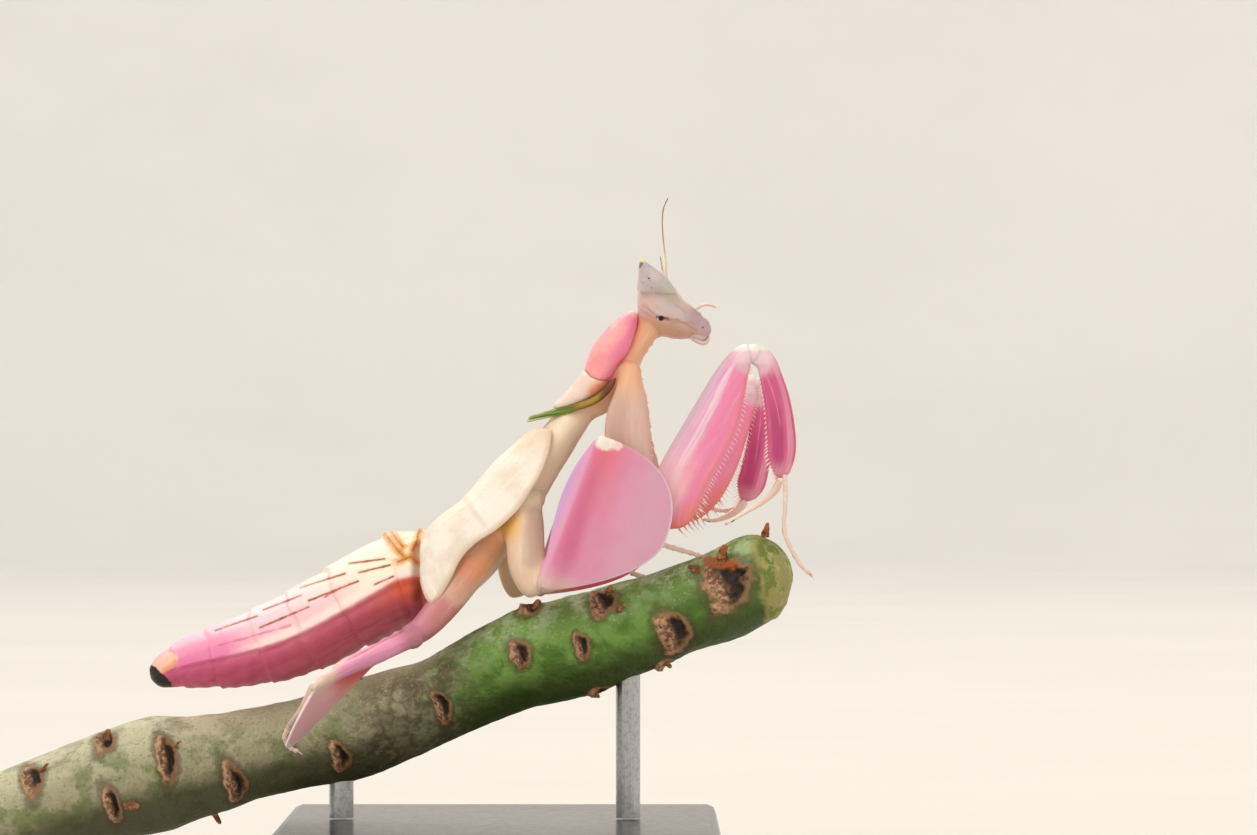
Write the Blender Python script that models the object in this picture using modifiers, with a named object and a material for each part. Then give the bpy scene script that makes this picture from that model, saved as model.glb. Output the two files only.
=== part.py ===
"""Orchid mantis: a still, life-size museum model of a subadult female on a cut stem, held by a display stand.

The animal faces +X with its right side towards -Y. Sizes are in millimetres and are turned into metres where
the meshes are made. The origin is the centre of the underside of the stand's base.
"""

import math

import bmesh
import bpy
import numpy as np

MM = 0.001
MODEL = "orchid_mantis"
CUTTERS = "cutters"
CUT = 0.12  # the thin cut left between neighbouring solids

RIGHT, LEFT = -1, 1
SIDE_NAMES = {RIGHT: "right", LEFT: "left"}

# Display stand
BASE_LENGTH, BASE_DEPTH, BASE_HEIGHT, BASE_BEVEL = 36.0, 40.0, 5.0, 0.8
ROD_DIAMETER = 2.0
ROD_SOCKET = 2.0  # how far a rod enters the stem
ROD_PLACES = {"stand_rod_rear": -13.0, "stand_rod_front": 10.5}

# Trunk, as rows of x, z, half width and half height along the middle of the body
ABDOMEN = [
    (-4.9, 25.0, 3.2, 3.6),
    (-8.2, 24.6, 4.1, 3.8),
    (-12.3, 22.5, 4.3, 3.65),
    (-16.4, 20.3, 4.1, 3.45),
    (-20.5, 18.9, 3.5, 3.0),
    (-24.6, 18.0, 2.6, 2.3),
    (-26.7, 17.4, 1.9, 1.7),
    (-28.0, 16.8, 1.15, 1.15),
    (-28.6, 16.5, 0.5, 0.5),
]
ABDOMEN_KEEL = 1.6  # superellipse power: under 2 gives the sides their keel
TERGITE_ENDS = (-8.2, -12.6, -16.2, -19.5, -23.4, -26.4)
TERGITE_STEP = 0.05  # each tergite's hind rim stands this share proud of the next one
CRUMPLED_SWELL = 0.07  # the crumpled first tergites stand this share higher
ABDOMEN_PARTS = {
    "abdomen_front": (-4.9, -12.6),
    "abdomen_middle": (-12.6, -19.5),
    "abdomen_rear": (-19.5, -27.0),
    "abdomen_tip": (-27.0, -28.6),
}
THORAX = [
    (6.6, 38.7, 2.1, 1.4),
    (5.2, 36.8, 2.2, 1.5),
    (3.4, 34.2, 2.5, 1.7),
    (1.5, 31.4, 2.75, 1.95),
    (-0.6, 28.8, 3.1, 2.2),
    (-2.6, 26.4, 3.2, 2.4),
    (-3.9, 25.3, 3.1, 2.4),
]
PROTHORAX = [
    (11.5, 43.5, 1.3, 0.9),
    (10.6, 42.2, 1.8, 1.25),
    (9.6, 41.0, 2.0, 1.45),
    (8.4, 39.9, 2.1, 1.45),
    (7.1, 39.1, 2.0, 1.35),
]
NECK = [(12.9, 45.9, 1.2, 0.9), (12.2, 44.8, 1.2, 0.9), (11.6, 43.6, 1.25, 0.95)]
PRONOTUM = [
    (11.5, 46.4, 1.2, 0.5),
    (10.9, 45.9, 1.9, 0.95),
    (10.0, 44.8, 2.5, 1.3),
    (9.1, 43.2, 2.8, 1.55),
    (8.3, 41.6, 2.6, 1.35),
    (7.4, 40.6, 2.35, 1.2),
    (5.9, 39.3, 2.1, 1.05),
    (4.4, 38.6, 1.4, 0.5),
]
BAND = [
    (9.5, 2.75, 41.3),
    (8.4, 2.7, 39.9),
    (7.0, 2.5, 39.0),
    (4.9, 1.9, 38.5),
    (3.3, 0.8, 38.1),
    (2.5, 0.0, 37.9),
]
BAND_WIDE, BAND_THICK = 0.36, 0.28

# Head, as rows of x, z, half width and half depth from crown to mouth
HEAD = [
    (11.9, 49.4, 1.9, 0.7),
    (12.4, 48.7, 2.6, 1.35),
    (13.0, 47.7, 2.6, 1.65),
    (13.8, 46.6, 2.1, 1.65),
    (14.9, 45.8, 1.55, 1.5),
    (15.8, 45.1, 1.15, 1.1),
    (16.5, 44.6, 0.85, 0.8),
    (16.9, 44.3, 0.55, 0.5),
]
EYE_BASE, EYE_TIP = (12.9, 2.1, 48.6), (11.5, 3.75, 50.95)
EYE_WIDE, EYE_DEEP = 1.45, 1.35
ANTENNA = [
    (13.6, -0.5, 49.4),
    (13.6, -0.8, 50.7),
    (13.4, -1.2, 52.3),
    (13.3, -1.7, 53.8),
    (13.4, -2.1, 55.0),
    (13.8, -2.4, 55.9),
]
BROKEN_ANTENNA = [(13.45, 0.6, 49.3), (13.3, 0.9, 50.2), (13.15, 1.3, 51.2)]  # the left feeler is a stump
FEELER_RADIUS = 0.25
PALP = [(15.7, 0.8, 46.4), (16.4, 1.1, 46.9), (17.0, 1.25, 47.1), (17.5, 1.4, 46.9)]

# Wing pads: inner edge, along the back, and outer edge, along the side
WING_PADS = {
    "forewing_pad": (
        [(2.7, 0.3, 37.0), (1.0, 0.35, 35.3), (-1.0, 0.45, 33.2), (-2.8, 0.6, 31.3)],
        [(4.5, 2.4, 37.4), (4.3, 3.5, 34.6), (2.4, 3.8, 30.6), (-2.6, 4.4, 27.6)],
    ),
    "hindwing_pad": (
        [(-2.95, 0.6, 31.15), (-5.6, 1.4, 29.0), (-6.7, 3.4, 26.2), (-5.5, 4.9, 22.8)],
        [(-2.8, 4.4, 27.4), (-3.8, 4.8, 25.2), (-4.6, 4.9, 23.9), (-5.2, 4.95, 22.9)],
    ),
}
PAD_THICK = 0.5
PAD_BULGE = 0.7

# Raptorial legs
FORE_COXA = [
    (10.5, 2.7, 41.5, 0.7, 0.95),
    (10.4, 3.0, 39.6, 0.8, 1.65),
    (10.5, 3.2, 37.0, 0.9, 1.95),
    (10.8, 3.3, 34.6, 0.8, 1.8),
    (11.6, 3.35, 32.6, 0.72, 1.3),
    (12.3, 3.4, 31.6, 0.65, 0.95),
]
COXA_TOOTH = 0.06
FORE_FEMUR = {
    "right": ((12.4, 3.4, 30.0), (20.1, 3.2, 43.7)),
    "left": ((13.3, 3.5, 30.0), (20.7, 5.1, 40.9)),
}
FORE_FEMUR_LOBE = (0.89, 0.0, -0.45)
FORE_FEMUR_ROD, FORE_FEMUR_BLADE = 0.75, 4.25
FORE_FEMUR_TEETH, FEMUR_TOOTH = 8, 0.3
# The left leg stands further out, its knee is lower and its tibia is folded further under the femur
FORE_TIBIA = {
    "right": [
        (21.45, 3.2, 43.35, 0.5, 0.5),
        (22.05, 3.2, 41.7, 0.55, 0.75),
        (22.6, 3.2, 39.0, 0.55, 1.05),
        (23.0, 3.2, 36.0, 0.5, 1.15),
        (23.0, 3.2, 34.0, 0.45, 1.0),
        (22.95, 3.2, 32.7, 0.35, 0.5),
    ],
    "left": [
        (21.6, 5.2, 40.7, 0.45, 0.5),
        (21.85, 5.2, 39.5, 0.52, 0.8),
        (21.7, 5.2, 37.5, 0.52, 1.0),
        (21.3, 5.2, 35.0, 0.5, 1.12),
        (20.85, 5.2, 33.0, 0.45, 1.18),
        (20.45, 5.2, 31.2, 0.35, 0.6),
    ],
}
TIBIA_TOOTH = 0.18
FORE_CLAW = {
    "right": [(22.8, 3.2, 32.45), (21.7, 3.0, 31.2), (20.2, 2.8, 30.25), (18.4, 2.6, 29.2)],
    "left": [(20.3, 5.1, 31.0), (19.2, 4.95, 30.0), (18.1, 4.8, 29.5), (16.8, 4.5, 29.5)],
}
FORE_TARSUS = {
    "right": [
        (23.25, 3.95, 33.3),
        (23.3, 3.95, 31.2),
        (23.2, 3.9, 28.8),
        (23.7, 3.85, 27.4),
        (24.5, 3.8, 26.0),
        (25.6, 3.7, 24.9),
    ],
    "left": [(20.3, 5.95, 31.6), (19.4, 6.0, 30.8), (18.2, 6.0, 30.5), (17.0, 5.95, 30.8), (16.0, 5.9, 31.5)],
}
FORE_LEFT_HIP_STEP = (0.9, 0.1, 0.0)  # how far the left coxa's foot stands ahead of the right one's

# Walking legs
MID_COXA = [
    (2.6, 3.0, 30.4, 0.9, 1.0),
    (2.4, 4.0, 28.2, 1.0, 1.35),
    (2.5, 4.7, 25.8, 0.95, 1.45),
    (3.3, 5.2, 24.2, 0.7, 1.0),
]
MID_FEMUR_BASE, MID_FEMUR_KNEE = (3.8, 5.4, 23.8), (8.5, 5.4, 36.3)
MID_FEMUR_LOBE = (0.936, 0.0, -0.352)
MID_FEMUR_WIDE = 7.7
MID_TIBIA = [(8.7, 4.6, 35.6), (10.3, 4.68, 32.8), (11.9, 4.5, 30.0), (13.1, 3.5, 28.0)]
MID_TARSUS = [(13.35, 3.2, 27.6), (14.3, 2.6, 27.25), (15.5, 1.9, 26.9), (16.6, 1.3, 26.55)]
MID_LEFT_SHIFT = (-1.6, 0.0, -0.5)
MID_LEFT_FOOT_SHIFT = (-2.6, 1.0, -2.4)
MID_LEFT_TARSUS = [(10.8, 4.4, 25.1), (11.8, 4.2, 24.7), (12.9, 3.8, 24.3), (13.9, 3.5, 23.9)]
HIND_COXA = [
    (-2.4, 3.3, 25.8, 0.9, 1.3),
    (-3.6, 4.2, 23.7, 1.0, 1.45),
    (-5.1, 4.7, 21.6, 0.95, 1.3),
    (-6.2, 4.9, 20.6, 0.8, 0.95),
]
HIND_FEMUR_BASE, HIND_FEMUR_KNEE = (-6.9, 5.2, 20.1), (-14.0, 16.0, 17.0)
HIND_FEMUR_LOBE = (-0.34, -0.64, -0.69)
HIND_FEMUR_WIDE = 8.0
HIND_TIBIA = [(-14.6, 15.3, 16.4), (-15.6, 11.5, 14.6), (-16.5, 7.5, 13.5), (-16.9, 5.5, 13.0)]
HIND_TARSUS = [(-17.1, 5.0, 12.6), (-17.4, 4.5, 11.9), (-17.0, 4.15, 11.1), (-16.2, 4.05, 10.7)]
# Where along the femur, from 0 to 1, its petal lobe starts and is widest, and how it rises between them
MID_LOBE = (0.0, 0.54, 1.8)
MID_BACK_LOBE = 1.0  # the narrow lobe on the other side of the middle femur
HIND_LOBE = (0.3, 0.88, 1.3)

# The cut stem, as rows of x, z and radius
STEM = [
    (-41.6, 4.4, 3.8),
    (-39.0, 5.3, 4.1),
    (-33.0, 7.4, 4.4),
    (-28.0, 8.7, 4.75),
    (-24.6, 9.3, 4.15),
    (-20.5, 10.3, 3.7),
    (-16.4, 11.2, 3.65),
    (-12.3, 12.2, 3.95),
    (-8.2, 13.6, 3.75),
    (-4.9, 14.9, 3.5),
    (-1.6, 16.5, 3.7),
    (1.6, 17.9, 3.95),
    (4.9, 18.8, 4.1),
    (8.2, 19.8, 4.0),
    (11.5, 21.0, 3.75),
    (14.8, 22.1, 3.6),
    (18.0, 23.2, 3.7),
    (21.0, 24.7, 3.65),
    (22.7, 25.3, 3.2),
    (23.9, 25.6, 2.5),
]
# Leaf scars on the stem: x, turn round the stem from the top towards -Y in degrees, height and reach
SCARS = [
    (-36.5, 40, 0.5, 1.3),
    (-27.6, 5, 0.45, 1.4),
    (-31.5, 100, 0.3, 1.4),
    (-22.0, 70, 0.3, 1.2),
    (-13.3, 75, 0.3, 1.3),
    (3.3, 15, 0.35, 1.2),
    (9.2, 20, 0.35, 1.4),
    (1.9, 75, 0.3, 1.1),
    (6.5, 65, 0.35, 1.1),
    (17.8, 35, 0.5, 1.6),
    (12.8, 80, 0.45, 1.6),
    (6.8, 165, 0.5, 0.9),
]


def new_object(name, vertices, faces, colour, roughness=0.45, collection=MODEL):
    """A mesh object from vertices in millimetres, with a material of its own."""
    mesh = bpy.data.meshes.new(name)
    mesh.from_pydata((np.asarray(vertices) * MM).tolist(), [], faces)
    mesh.update()
    work = bmesh.new()
    work.from_mesh(mesh)
    bmesh.ops.recalc_face_normals(work, faces=work.faces)
    work.to_mesh(mesh)
    work.free()
    mesh.shade_smooth()
    mesh.set_sharp_from_angle(angle=math.radians(50))
    piece = bpy.data.objects.new(name, mesh)
    bpy.data.collections[collection].objects.link(piece)
    piece.data.materials.append(plain_material(name, colour, roughness))
    return piece


def plain_material(name, colour, roughness, metallic=0.0):
    material = bpy.data.materials.new(name)
    material.use_nodes = True
    shader = material.node_tree.nodes["Principled BSDF"]
    shader.inputs["Base Color"].default_value = (*colour, 1.0)
    shader.inputs["Roughness"].default_value = roughness
    shader.inputs["Metallic"].default_value = metallic
    return material


def smooth_rows(rows, places):
    """Catmull-Rom values at places, from 0 to 1, along evenly numbered rows."""
    rows = np.asarray(rows, float)
    padded = np.vstack([2 * rows[0] - rows[1], rows, 2 * rows[-1] - rows[-2]])
    along = np.clip(np.asarray(places), 0.0, 1.0) * (len(rows) - 1)
    first = np.minimum(along.astype(int), len(rows) - 2)
    t = (along - first)[:, None]
    before, start, end, after = (padded[first + k] for k in range(4))
    bend = 2 * before - 5 * start + 4 * end - after
    curve = 3 * start - before - 3 * end + after
    return 0.5 * (2 * start + (end - before) * t + bend * t**2 + curve * t**3)


def unit(vectors):
    vectors = np.asarray(vectors, float)
    return vectors / np.linalg.norm(vectors, axis=-1, keepdims=True)


def frames(centres, across, tangents=None):
    """The sideways and upward unit vectors of the sections along a line of centres."""
    tangents = unit(np.gradient(centres, axis=0) if tangents is None else tangents)
    across = np.broadcast_to(np.asarray(across, float), centres.shape)
    sideways = unit(across - (across * tangents).sum(1, keepdims=True) * tangents)
    return sideways, np.cross(tangents, sideways)


def ring_faces(rings, sides):
    """Quads between rings of points and a face on each end."""
    faces = []
    for ring in range(rings - 1):
        for side in range(sides):
            following = (side + 1) % sides
            start, end = ring * sides, (ring + 1) * sides
            faces.append((start + side, start + following, end + following, end + side))
    faces.append(tuple(range(sides)))
    faces.append(tuple(range((rings - 1) * sides, rings * sides)))
    return faces


def loft(name, centres, wide, high, colour, across=(0.0, 1.0, 0.0), sides=14, power=2.0, tangents=None):
    """A closed body of oval sections: wide along the across direction, high at right angles to it."""
    angles = np.linspace(0, 2 * math.pi, sides, endpoint=False)
    side_part = np.sign(np.cos(angles)) * np.abs(np.cos(angles)) ** (2 / power)
    high_part = np.sign(np.sin(angles)) * np.abs(np.sin(angles)) ** (2 / power)
    sideways, upward = frames(centres, across, tangents)
    points = (
        centres[:, None, :]
        + (wide[:, None] * side_part)[..., None] * sideways[:, None, :]
        + (high[:, None] * high_part)[..., None] * upward[:, None, :]
    )
    return new_object(name, points.reshape(-1, 3), ring_faces(len(centres), sides), colour)


def trunk_loft(name, rows, colour, rings=9, sides=12):
    """A loft through rows of x, z, half width and half height on the middle plane of the body."""
    x, z, wide, high = smooth_rows(rows, np.linspace(0, 1, rings)).T
    centres = np.column_stack([x, np.zeros(rings), z])
    return loft(name, centres, wide, high, colour, sides=sides)


def limb_loft(name, rows, side, colour, rings=9, sides=10, shift=(0, 0, 0), shift_from=1.0, tooth=0.0):
    """A loft through rows of x, y, z, half thickness across the body and half depth in profile.

    On the left side it is shifted, from the share shift_from at its top to the whole shift at its foot. Every
    other ring stands out by the share tooth.
    """
    places = np.linspace(0, 1, rings)
    values = smooth_rows(rows, places)
    centres = placed(values[:, :3], side)
    if side == LEFT:
        share = np.clip(shift_from + (1 - shift_from) * places, 0, 1)
        centres = centres + share[:, None] * np.asarray(shift)
    notch = 1 + tooth * (np.arange(rings) % 2) * (np.sin(math.pi * places) > 0.2)
    return loft(name, centres, values[:, 3], values[:, 4] * notch, colour, sides=sides)


def placed(points, side):
    """Points given for the left side, carried to the side asked for."""
    return np.asarray(points, float) * np.array([1.0, side, 1.0])


def rod(name, points, radii, colour, rings=7, sides=8, across=(0.3, 1.0, 0.2)):
    """A round, tapering limb through a few points, with the radii at both ends."""
    places = np.linspace(0, 1, rings)
    centres = smooth_rows(points, places)
    radius = radii[0] + (radii[1] - radii[0]) * places
    return loft(name, centres, radius, radius, colour, across=across, sides=sides)


def petal(name, base, knee, lobe, colour, rod_radius, lobe_width, rings=13, half_sides=5, edge=0.26, back=0.0):
    """A leg segment with a flat lobe: a rod from base to knee whose sections run out along the lobe.

    rod_radius and lobe_width give millimetres at places from 0 at the base to 1 at the knee, and back is
    how far a narrow lobe stands out on the other side of the rod.
    """
    places = np.linspace(0, 1, rings)
    centres = np.asarray(base) + places[:, None] * (np.asarray(knee) - np.asarray(base))
    outward, normal = frames(centres, lobe)
    radius, width = rod_radius(places), lobe_width(places)
    rear = radius + back * np.sin(math.pi * places**1.4)
    along = np.linspace(0, 1, half_sides + 1)
    reach = -rear[:, None] + (width + rear)[:, None] * (1 - np.cos(math.pi * along)) / 2
    fade = np.exp(-((reach / (1.3 * radius[:, None])) ** 2))
    half_thick = (edge + (radius[:, None] - edge) * fade) * np.sin(math.pi * along) ** 0.4
    half_thick[:, [0, -1]] = 0.0
    reach = np.hstack([reach, reach[:, -2:0:-1]])[..., None]
    rise = np.hstack([half_thick, -half_thick[:, -2:0:-1]])[..., None]
    points = centres[:, None, :] + reach * outward[:, None, :] + rise * normal[:, None, :]
    sides = reach.shape[1]
    return new_object(name, points.reshape(-1, 3), ring_faces(rings, sides), colour)


def round_lobe(most, start, widest, power):
    """The outline of a petal lobe: it rises slowly from the base and ends full and round at the knee."""

    def width(places):
        rise = 1 - np.clip((widest - places) / (widest - start), 0, 1) ** power
        fall = np.clip((places - widest) / (1.01 - widest), 0, 1)
        return np.maximum(most * np.where(places < widest, rise, (1 - fall**2.5) ** 0.4), 0.6)

    return width


def tapered(start, end):
    def radius(places):
        return start + (end - start) * places

    return radius


def bent_plate(name, inner, outer, thick, bulge, outward, colour, rings=8, columns=3):
    """A thin plate between two edge curves, bulging outward between them."""
    places = np.linspace(0, 1, rings)
    first, last = smooth_rows(inner, places), smooth_rows(outer, places)
    across = np.linspace(0, 1, columns + 1)
    grid = first[:, None, :] + across[None, :, None] * (last - first)[:, None, :]
    span = np.linalg.norm(last - first, axis=1) / np.linalg.norm(last - first, axis=1).max()
    normal = unit(np.cross(np.gradient(grid, axis=0), np.gradient(grid, axis=1)))
    normal *= np.sign((normal * unit(outward)).sum(-1, keepdims=True))
    grid = grid + (bulge * span[:, None] * np.sin(math.pi * across))[..., None] * normal
    upper, lower = grid + normal * thick / 2, grid - normal * thick / 2
    section = np.concatenate([upper, lower[:, ::-1]], axis=1)
    sides = section.shape[1]
    return new_object(name, section.reshape(-1, 3), ring_faces(rings, sides), colour)


def carve(piece, *neighbours, gap=CUT):
    """Cuts the neighbours, grown by the gap, out of a piece."""
    for neighbour in neighbours:
        mesh = neighbour.data.copy()
        offsets = np.array([vertex.co + vertex.normal * gap * MM for vertex in mesh.vertices])
        mesh.vertices.foreach_set("co", offsets.ravel())
        mesh.update()
        cutter = bpy.data.objects.new(f"{neighbour.name}_out_of_{piece.name}", mesh)
        cutter.hide_render = True
        cutter.display_type = "WIRE"
        bpy.data.collections[CUTTERS].objects.link(cutter)
        cut = piece.modifiers.new("carve", "BOOLEAN")
        cut.operation = "DIFFERENCE"
        cut.object = cutter


def place_at(rows, x):
    """The place along smooth rows, from 0 to 1, where they reach x."""
    places = np.linspace(0, 1, 400)
    reached = smooth_rows(rows, places)[:, 0]
    return float(np.interp(-x, -reached, places))


def tergite_swell(x):
    """The share by which the abdomen swells towards each tergite's hind rim."""
    ends = np.array((ABDOMEN[0][0],) + TERGITE_ENDS + (ABDOMEN[-1][0] - 1,))
    segment = np.clip(np.searchsorted(-ends, -x + 1e-6) - 1, 0, len(ends) - 2)
    share = (ends[segment] - x) / (ends[segment] - ends[segment + 1])
    return 1 + TERGITE_STEP * (share - 0.5) + CRUMPLED_SWELL * (x > TERGITE_ENDS[0])


def make_abdomen():
    """Three lengths of the abdomen and its dark tip, with a step at each tergite's hind rim."""
    pink, black = (0.75, 0.3, 0.42), (0.06, 0.03, 0.04)
    pieces = {}
    for name, (front, rear) in ABDOMEN_PARTS.items():
        stations = [front - CUT, rear + CUT]
        for rim in TERGITE_ENDS:
            stations += [rim + 2.2, rim + 0.12, rim - 0.15]
        stations = sorted({round(x, 3) for x in stations if rear + CUT <= x <= front - CUT}, reverse=True)
        places = np.array([place_at(ABDOMEN, x) for x in stations])
        x, z, wide, high = smooth_rows(ABDOMEN, places).T
        swell = tergite_swell(x)
        centres = np.column_stack([x, np.zeros(len(x)), z])
        ahead, behind = (smooth_rows(ABDOMEN, places + step) for step in (0.01, -0.01))
        tangents = np.column_stack([ahead[:, 0] - behind[:, 0], np.zeros(len(x)), ahead[:, 1] - behind[:, 1]])
        pieces[name] = loft(
            name,
            centres,
            wide * swell,
            high * swell,
            black if name == "abdomen_tip" else pink,
            sides=16,
            power=ABDOMEN_KEEL,
            tangents=tangents,
        )
    return pieces


def make_trunk():
    """Thorax, prothorax, neck, the pronotum's shield and its green band."""
    cream, peach, pink, green = (0.9, 0.82, 0.68), (0.9, 0.66, 0.52), (0.9, 0.45, 0.55), (0.2, 0.26, 0.06)
    thorax = trunk_loft("thorax", THORAX, cream, rings=9, sides=14)
    prothorax = trunk_loft("prothorax", PROTHORAX, peach, rings=7)
    neck = trunk_loft("neck", NECK, peach, rings=4, sides=12)
    pronotum = trunk_loft("pronotum", PRONOTUM, pink, rings=10, sides=16)
    crossing = placed(BAND[:-1], RIGHT)[::-1]
    path = np.vstack([placed(BAND, LEFT), crossing])
    places = np.linspace(0, 1, 16)
    taper = 0.35 + 0.65 * np.minimum(1, 6 * np.minimum(places, 1 - places))
    centres = smooth_rows(path, places)
    thick, wide = BAND_THICK * taper, BAND_WIDE * taper
    band = loft("pronotum_band", centres, thick, wide, green, across=(0.0, 1.0, 0.0), sides=8)
    carve(pronotum, band)
    carve(prothorax, pronotum, band)
    carve(thorax, prothorax, pronotum, band)
    carve(neck, prothorax, pronotum)
    return {"thorax": thorax, "prothorax": prothorax, "neck": neck, "pronotum": pronotum, "band": band}


def make_head(trunk):
    """Head, pointed eyes, feelers and palps."""
    lilac, glassy, brown = (0.82, 0.72, 0.76), (0.75, 0.74, 0.68), (0.3, 0.22, 0.2)
    head = trunk_loft("head", HEAD, lilac, rings=14, sides=16)
    carve(trunk["neck"], head)
    carve(trunk["pronotum"], head)
    for side in (RIGHT, LEFT):
        where = SIDE_NAMES[side]
        base, tip = placed(EYE_BASE, side), placed(EYE_TIP, side)
        places = np.array([0.0, 0.25, 0.5, 0.72, 0.88, 1.0])
        shape = np.array([0.85, 1.0, 0.86, 0.58, 0.3, 0.1])
        centres = base + places[:, None] * (tip - base)
        eye = loft(f"eye_{where}", centres, EYE_WIDE * shape, EYE_DEEP * shape, glassy, sides=12)
        carve(eye, head)
        feeler_path = ANTENNA if side == RIGHT else placed(BROKEN_ANTENNA, side)
        rings = 9 if side == RIGHT else 4
        feeler_radii = (FEELER_RADIUS, FEELER_RADIUS)
        feeler = rod(f"antenna_{where}", feeler_path, feeler_radii, brown, rings=rings, sides=6)
        palp = rod(f"palp_{where}", placed(PALP, side), (0.28, 0.25), lilac, rings=6, sides=6)
        for outgrowth in (feeler, palp):
            carve(outgrowth, head)


def make_wing_pads(trunk, abdomen):
    """Forewing pads over the thorax and, behind each, the hindwing pad that reaches over the abdomen."""
    cream = (0.93, 0.86, 0.72)
    pads = {RIGHT: [], LEFT: []}
    for side in (RIGHT, LEFT):
        for wing, (inner, outer) in WING_PADS.items():
            pad = bent_plate(
                f"{wing}_{SIDE_NAMES[side]}",
                placed(inner, side),
                placed(outer, side),
                PAD_THICK,
                PAD_BULGE,
                (-0.3, side, 0.3),
                cream,
            )
            carve(pad, trunk["thorax"])
            carve(abdomen["abdomen_front"], pad)
            pads[side].append(pad)
    return pads


def make_raptorial_leg(side, trunk):
    """Coxa, toothed femur, toothed tibia with its claw, and the tarsus."""
    where = SIDE_NAMES[side]
    greyish, pink = (0.85, 0.66, 0.66), (0.9, 0.5, 0.62)
    magenta, pale = (0.72, 0.2, 0.36), (0.92, 0.82, 0.85)
    step = {"shift": FORE_LEFT_HIP_STEP, "shift_from": 0.0}
    coxa = limb_loft(f"fore_coxa_{where}", FORE_COXA, side, greyish, tooth=COXA_TOOTH, **step)
    carve(coxa, trunk["prothorax"], trunk["pronotum"], trunk["band"], trunk["neck"])

    def blade(places):
        body = FORE_FEMUR_BLADE * np.clip(1.02 - places, 0, 1) ** 0.38 * np.minimum(1, 0.6 + 5 * places)
        comb = FEMUR_TOOTH * (np.round(places * 2 * FORE_FEMUR_TEETH) % 2)
        return np.maximum(body + comb * (places > 0.04) * (places < 0.8), 0.4)

    base, knee = FORE_FEMUR[where]
    femur = petal(
        f"fore_femur_{where}",
        placed(base, side),
        placed(knee, side),
        FORE_FEMUR_LOBE,
        pink,
        tapered(FORE_FEMUR_ROD, 0.5),
        blade,
        rings=2 * FORE_FEMUR_TEETH + 1,
    )
    carve(femur, coxa)
    name = f"fore_tibia_{where}"
    tibia = limb_loft(name, FORE_TIBIA[where], side, magenta, rings=16, sides=8, tooth=TIBIA_TOOTH)
    carve(tibia, femur)
    claw = rod(f"fore_claw_{where}", placed(FORE_CLAW[where], side), (0.38, 0.25), pale)
    carve(claw, tibia, femur)
    name = f"fore_tarsus_{where}"
    tarsus = rod(name, placed(FORE_TARSUS[where], side), (0.28, 0.25), pale, rings=9, sides=6)
    carve(tarsus, tibia, femur, claw)


def make_walking_legs(side, trunk, abdomen, pads, stem):
    """The middle and hind leg of one side, each with a petal lobe along its femur."""
    where = SIDE_NAMES[side]
    cream, pink, pale = (0.92, 0.82, 0.72), (0.85, 0.42, 0.62), (0.92, 0.82, 0.85)
    shift = np.array(MID_LEFT_SHIFT) * (side == LEFT)
    name = f"mid_coxa_{where}"
    coxa = limb_loft(name, MID_COXA, side, cream, rings=6, sides=8, shift=shift, shift_from=0.3)
    carve(coxa, trunk["thorax"], *pads)
    femur = petal(
        f"mid_femur_{where}",
        placed(MID_FEMUR_BASE, side) + shift,
        placed(MID_FEMUR_KNEE, side) + shift,
        MID_FEMUR_LOBE,
        pink,
        tapered(0.7, 0.5),
        round_lobe(MID_FEMUR_WIDE, *MID_LOBE),
        rings=14,
        back=MID_BACK_LOBE,
    )
    carve(femur, coxa)
    foot_shift = np.array(MID_LEFT_FOOT_SHIFT) * (side == LEFT)
    share = np.linspace(0, 1, len(MID_TIBIA))[:, None]
    tibia_path = placed(MID_TIBIA, side) + (1 - share) * shift + share * foot_shift
    tibia = rod(f"mid_tibia_{where}", tibia_path, (0.34, 0.28), pale)
    carve(tibia, femur)
    tarsus_path = placed(MID_TARSUS, side) if side == RIGHT else MID_LEFT_TARSUS
    tarsus = rod(f"mid_tarsus_{where}", tarsus_path, (0.3, 0.25), pale, sides=6)
    carve(tarsus, tibia, stem)

    coxa = limb_loft(f"hind_coxa_{where}", HIND_COXA, side, cream, rings=6, sides=8)
    carve(coxa, trunk["thorax"], abdomen["abdomen_front"], *pads)
    femur = petal(
        f"hind_femur_{where}",
        placed(HIND_FEMUR_BASE, side),
        placed(HIND_FEMUR_KNEE, side),
        placed(HIND_FEMUR_LOBE, side),
        pink,
        tapered(0.75, 0.5),
        round_lobe(HIND_FEMUR_WIDE, *HIND_LOBE),
        rings=14,
    )
    carve(femur, coxa)
    tibia = rod(f"hind_tibia_{where}", placed(HIND_TIBIA, side), (0.42, 0.3), pale)
    carve(tibia, femur)
    tarsus = rod(f"hind_tarsus_{where}", placed(HIND_TARSUS, side), (0.3, 0.25), pale, sides=6)
    carve(tarsus, tibia, stem)


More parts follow.
